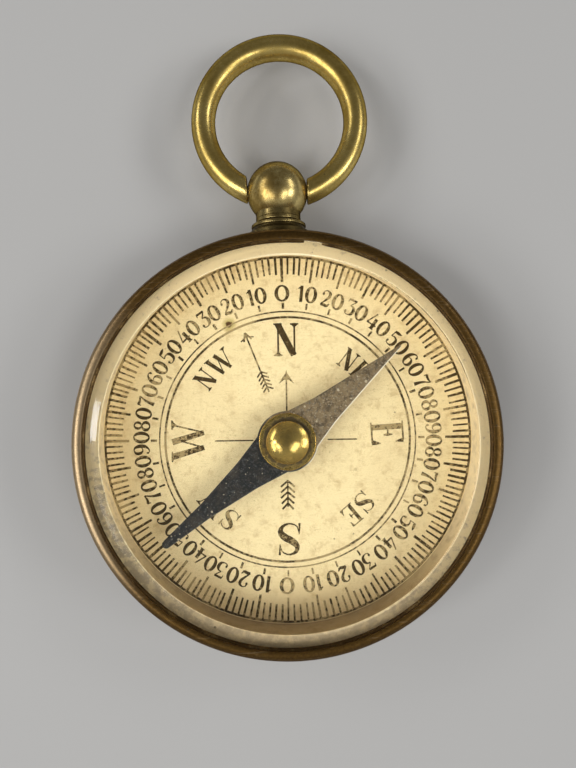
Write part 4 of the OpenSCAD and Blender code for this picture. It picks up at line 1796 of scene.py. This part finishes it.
@dataclass
class Needle:
    """Blade, half blued, under a domed cap with a flange."""

    bearing: float = 52.1
    low: float = 4.75
    thick: float = 0.3
    blued_l: float = 16.3
    bare_l: float = 14.8
    boss_r: float = 3.05
    widths: Triple = (2.35, 1.6, 0.84)
    blued_end: float = 0.42
    bare_end: float = 0.1
    bevel_w: float = 0.15
    bevel_h: float = 0.06
    under: Pair = (0.02, 0.04)
    least_w: float = 0.03
    flange_r: float = 2.85
    flange_t: float = 0.25
    drum_r: float = 2.1
    dome_z: float = 6.2
    top_z: float = 6.9
    dome_lean: float = 0.07
    spigot_r: float = 1.2
    bore_r: float = 0.75
    foot_z: float = 4.55

    def build(self) -> None:
        """Makes both pieces."""
        self.blade()
        self.cap()

    def half_width(self, along: Array) -> Array:
        """Half the blade's width: straight runs between four widths, and the boss's circle.

        Args:
            along: Distance from the pivot, towards the bare end.

        Returns:
            Half width at each.
        """
        d = np.abs(along)
        root = self.boss_r - self.widths[0] / 2
        half = np.sqrt(np.clip(self.boss_r**2 - d**2, 0, None))
        arms = ((along > 0, self.bare_l, self.bare_end),
                (along <= 0, self.blued_l - self.blued_end, self.blued_end))
        for side, far, end in arms:
            arm = np.interp(d, (root, far / 3, 2 * far / 3, far), (*self.widths, end))
            past = np.clip((d - far) / end, 0, 1)
            arm = np.where(d > far, end * np.sqrt(1 - past**2), arm)
            half = np.where(side & (d >= root), np.maximum(half, arm), half)
        return half

    def blade(self) -> None:
        """Flat blade: an eight-sided section, its upper edges ground, carried along its length."""
        ends = np.sin(np.linspace(0.15, math.pi / 2, 7))
        tail = -(self.blued_l - self.blued_end) - self.blued_end * ends[::-1]
        tail[0] = -self.blued_l + 0.003
        body = np.linspace(-self.blued_l + self.blued_end, self.bare_l - 0.02, 560)
        along = np.concatenate([tail, body, [self.bare_l]])
        half = np.maximum(self.half_width(along), self.least_w)
        high = self.low + self.thick
        ground = np.minimum(self.bevel_w, 0.6 * half)
        drop = self.bevel_h * ground / self.bevel_w
        level_top, level_foot = np.full_like(half, high), np.full_like(half, self.low)
        right = [half - ground, half, half, half - self.under[0]]
        levels = [level_top, high - drop, level_foot + self.under[1], level_foot]
        across = np.stack(right + [-column for column in right[::-1]], axis=1)
        level = np.stack(levels + levels[::-1], axis=1)
        b = math.radians(self.bearing)
        ahead = np.array((math.sin(b), math.cos(b)))
        aside = np.array((math.cos(b), -math.sin(b)))
        run = np.repeat(along[:, None], across.shape[1], axis=1)
        flat = run[..., None] * ahead + across[..., None] * aside
        rings = np.concatenate([flat, level[..., None]], axis=-1)
        edge = np.zeros(across.shape)
        # The south-east arris is marked in full, the north-west one less: a painted highlight
        edge[:, 1] = 1
        edge[:, 6] = 0.45
        skin = Skin()
        skin.tube(rings, edge=edge, along=run)
        piece = skin.put("blade", Body.NEEDLE, NeedleSteel(), 12.0)
        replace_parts(piece, "needle_blade")

    def cap(self) -> None:
        """Flange, drum and dome turned in one, with the bore for the jewel below.

        The dome leans a little: its height falls with x, most at its middle.
        """
        high = self.low + self.thick
        rise = self.top_z - self.dome_z
        ball = (self.drum_r**2 + rise**2) / (2 * rise)
        start = math.degrees(math.asin(self.drum_r / ball))
        dome = arc_corners((0, self.top_z - ball), ball, 90 - start + 3, 89.2, 18)
        corners = [
            (0, self.dome_z, 0), (self.bore_r, self.dome_z, 0.03), (self.bore_r, self.foot_z, 0.02),
            (self.spigot_r, self.foot_z, 0.06), (self.spigot_r, high, 0.02),
            (self.flange_r, high, 0.03), (self.flange_r, high + self.flange_t, 0.09),
            (self.drum_r + 0.18, high + self.flange_t, 0.06),
            (self.drum_r + 0.12, high + self.flange_t - 0.04, 0),
            (self.drum_r, high + self.flange_t - 0.04, 0.05),
            (self.drum_r, self.dome_z, 0.12), *dome, (0, self.top_z, 0),
        ]
        brass = OldBrass("cap brass", bright=(0.7, 0.5, 0.14), tarnish=(0.3, 0.2, 0.055),
                         scale=0.6, cover=0.45, soft=0.2, gloss=0.16, dull=0.3, bumps=0.2)
        profile = rounded(corners, closed=False)
        radius, level = profile.points.T
        flange = (radius > self.drum_r + 0.02) & (level > high - 0.01)
        profile.edge[flange] = np.where(profile.edge[flange] > 0.5, 0.1, -0.42)
        profile.edge[flange & (radius < self.drum_r + 0.3)] = -1
        skin = Skin().lathe(profile, steps=160)
        points = skin.points[0]
        inside = np.clip(1 - (points[:, 0] ** 2 + points[:, 1] ** 2) / self.drum_r**2, 0, 1)
        inside[points[:, 2] < self.dome_z + 0.01] = 0
        points[:, 2] -= self.dome_lean * points[:, 0] * inside
        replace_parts(skin.put("cap", Body.NEEDLE, brass), "needle_cap")


def dress_hidden() -> None:
    """Gives the nodes that stay as they are their finishes."""
    dull = OldBrass("plate brass", bright=(0.6, 0.46, 0.22), tarnish=(0.3, 0.21, 0.09),
                    scale=0.4, cover=0.4, soft=0.25).material()
    steel = NeedleSteel("pin steel", blued=(0.4, 0.39, 0.37), bare=(0.4, 0.39, 0.37),
                        stain=(0.3, 0.28, 0.25)).material()
    agate = BandedAgate().material()
    finishes = {"dial_plate": dull, "pivot_post": dull, "needle_washer": dull,
                "pivot_pin": steel, "needle_jewel": agate}
    for name, finish in finishes.items():
        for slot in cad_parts[name].material_slots:
            slot.material = finish
        LOG.info("%s: dressed", name)


# Studio


@dataclass(frozen=True)
class Lamp:
    """A soft rectangular light that faces the object."""

    name: str
    azimuth: float
    height: float
    distance: float
    size: Pair
    power: float

    def put(self) -> None:
        """Places the light, at an angle round from +X and an angle up, looking at the middle."""
        a, e = math.radians(self.azimuth), math.radians(self.height)
        away = np.array((math.cos(e) * math.cos(a), math.cos(e) * math.sin(a), math.sin(e)))
        data = bpy.data.lights.new(self.name, "AREA")
        data.shape = "RECTANGLE"
        data.size, data.size_y = self.size
        data.energy = self.power
        lamp = bpy.data.objects.new(self.name, data)
        lamp.location = tuple(away * self.distance)
        lamp.rotation_euler = (math.pi / 2 - e, 0, a + math.pi / 2)
        bpy.context.scene.collection.objects.link(lamp)


@dataclass
class Studio:
    """Pale floor, soft lights from two sides, and a camera close above the dial."""

    lens: float = 26.0
    sensor: float = 36.0
    camera_mm: Triple = (0.279, 5.74, 60.75)
    camera_turn: float = 2.4
    clip: Pair = (0.002, 10.0)
    floor_half: float = 1.5
    floor_z: float = -0.00002
    greys: tuple[Pair, ...] = ((0.5, 0.5), (0.8, 0.72), (0.9, 0.62), (0.985, 0.16))
    lamps: tuple[Lamp, ...] = (
        Lamp("window left", 198.0, 38.0, 0.5, (0.26, 0.11), 0.47),
        Lamp("window right", 352.0, 36.0, 0.5, (0.18, 0.11), 0.4),
        Lamp("window left rear", 152.0, 33.0, 0.5, (0.3, 0.1), 0.32),
        Lamp("window right rear", 27.0, 33.0, 0.5, (0.2, 0.1), 0.2),
        Lamp("pane", 179.0, 47.0, 0.48, (0.065, 0.08), 0.18),
        Lamp("skylight left", 216.0, 57.0, 0.5, (0.24, 0.12), 0.38),
        Lamp("skylight right", 326.0, 57.0, 0.5, (0.24, 0.12), 0.36),
    )

    def build(self) -> None:
        """Makes the floor, the sky, the lamps and the camera."""
        self.floor()
        self.sky()
        for lamp in self.lamps:
            lamp.put()
        data = bpy.data.cameras.new("camera")
        data.sensor_fit = "VERTICAL"
        data.sensor_height = self.sensor
        data.lens = self.lens
        data.clip_start, data.clip_end = self.clip
        camera = bpy.data.objects.new("camera", data)
        camera.location = tuple(c * MM for c in self.camera_mm)
        camera.rotation_euler = (0, 0, -math.radians(self.camera_turn))
        bpy.context.scene.collection.objects.link(camera)
        bpy.context.scene.camera = camera
        bpy.context.scene.view_settings.view_transform = "Standard"

    def floor(self) -> None:
        """A wide flat square just under the compass."""
        mesh = bpy.data.meshes.new("floor")
        corners = [(x * self.floor_half, y * self.floor_half, self.floor_z)
                   for x, y in ((-1, -1), (1, -1), (1, 1), (-1, 1))]
        mesh.from_pydata(corners, [], [(0, 1, 2, 3)])
        mesh.materials.append(PaleFloor().material())
        floor = bpy.data.objects.new("floor", mesh)
        bpy.context.scene.collection.objects.link(floor)

    def sky(self) -> None:
        """Soft light all round, dimmer overhead and beyond the pendant than at the sides."""
        world = bpy.data.worlds.new("studio")
        world.use_nodes = True
        world.node_tree.nodes.clear()
        w = Wiring(world.node_tree)
        way = w.get("TexCoord", {}, "Generated")
        shade = w.greys(w.part(way, Axis.Z) * 0.5 + 0.5, self.greys)
        strength = w.span(w.part(way, Axis.Y), -0.9, 0.7, 0.45, 0.14)
        w.put("OutputWorld", {0: w.get("Background", {0: shade, 1: strength})})
        bpy.context.scene.world = world


def main() -> None:
    """Builds the studio and the compass in order, then gives the hidden pieces their finishes."""
    logging.basicConfig(level=logging.INFO, format="%(name)s: %(message)s")
    for part in (Studio(), Housing(), Dial(), Pendant(), Bow(), Needle()):
        part.build()
        LOG.info("%s built", type(part).__name__)
    dress_hidden()


if __name__ == "__main__":
    main()
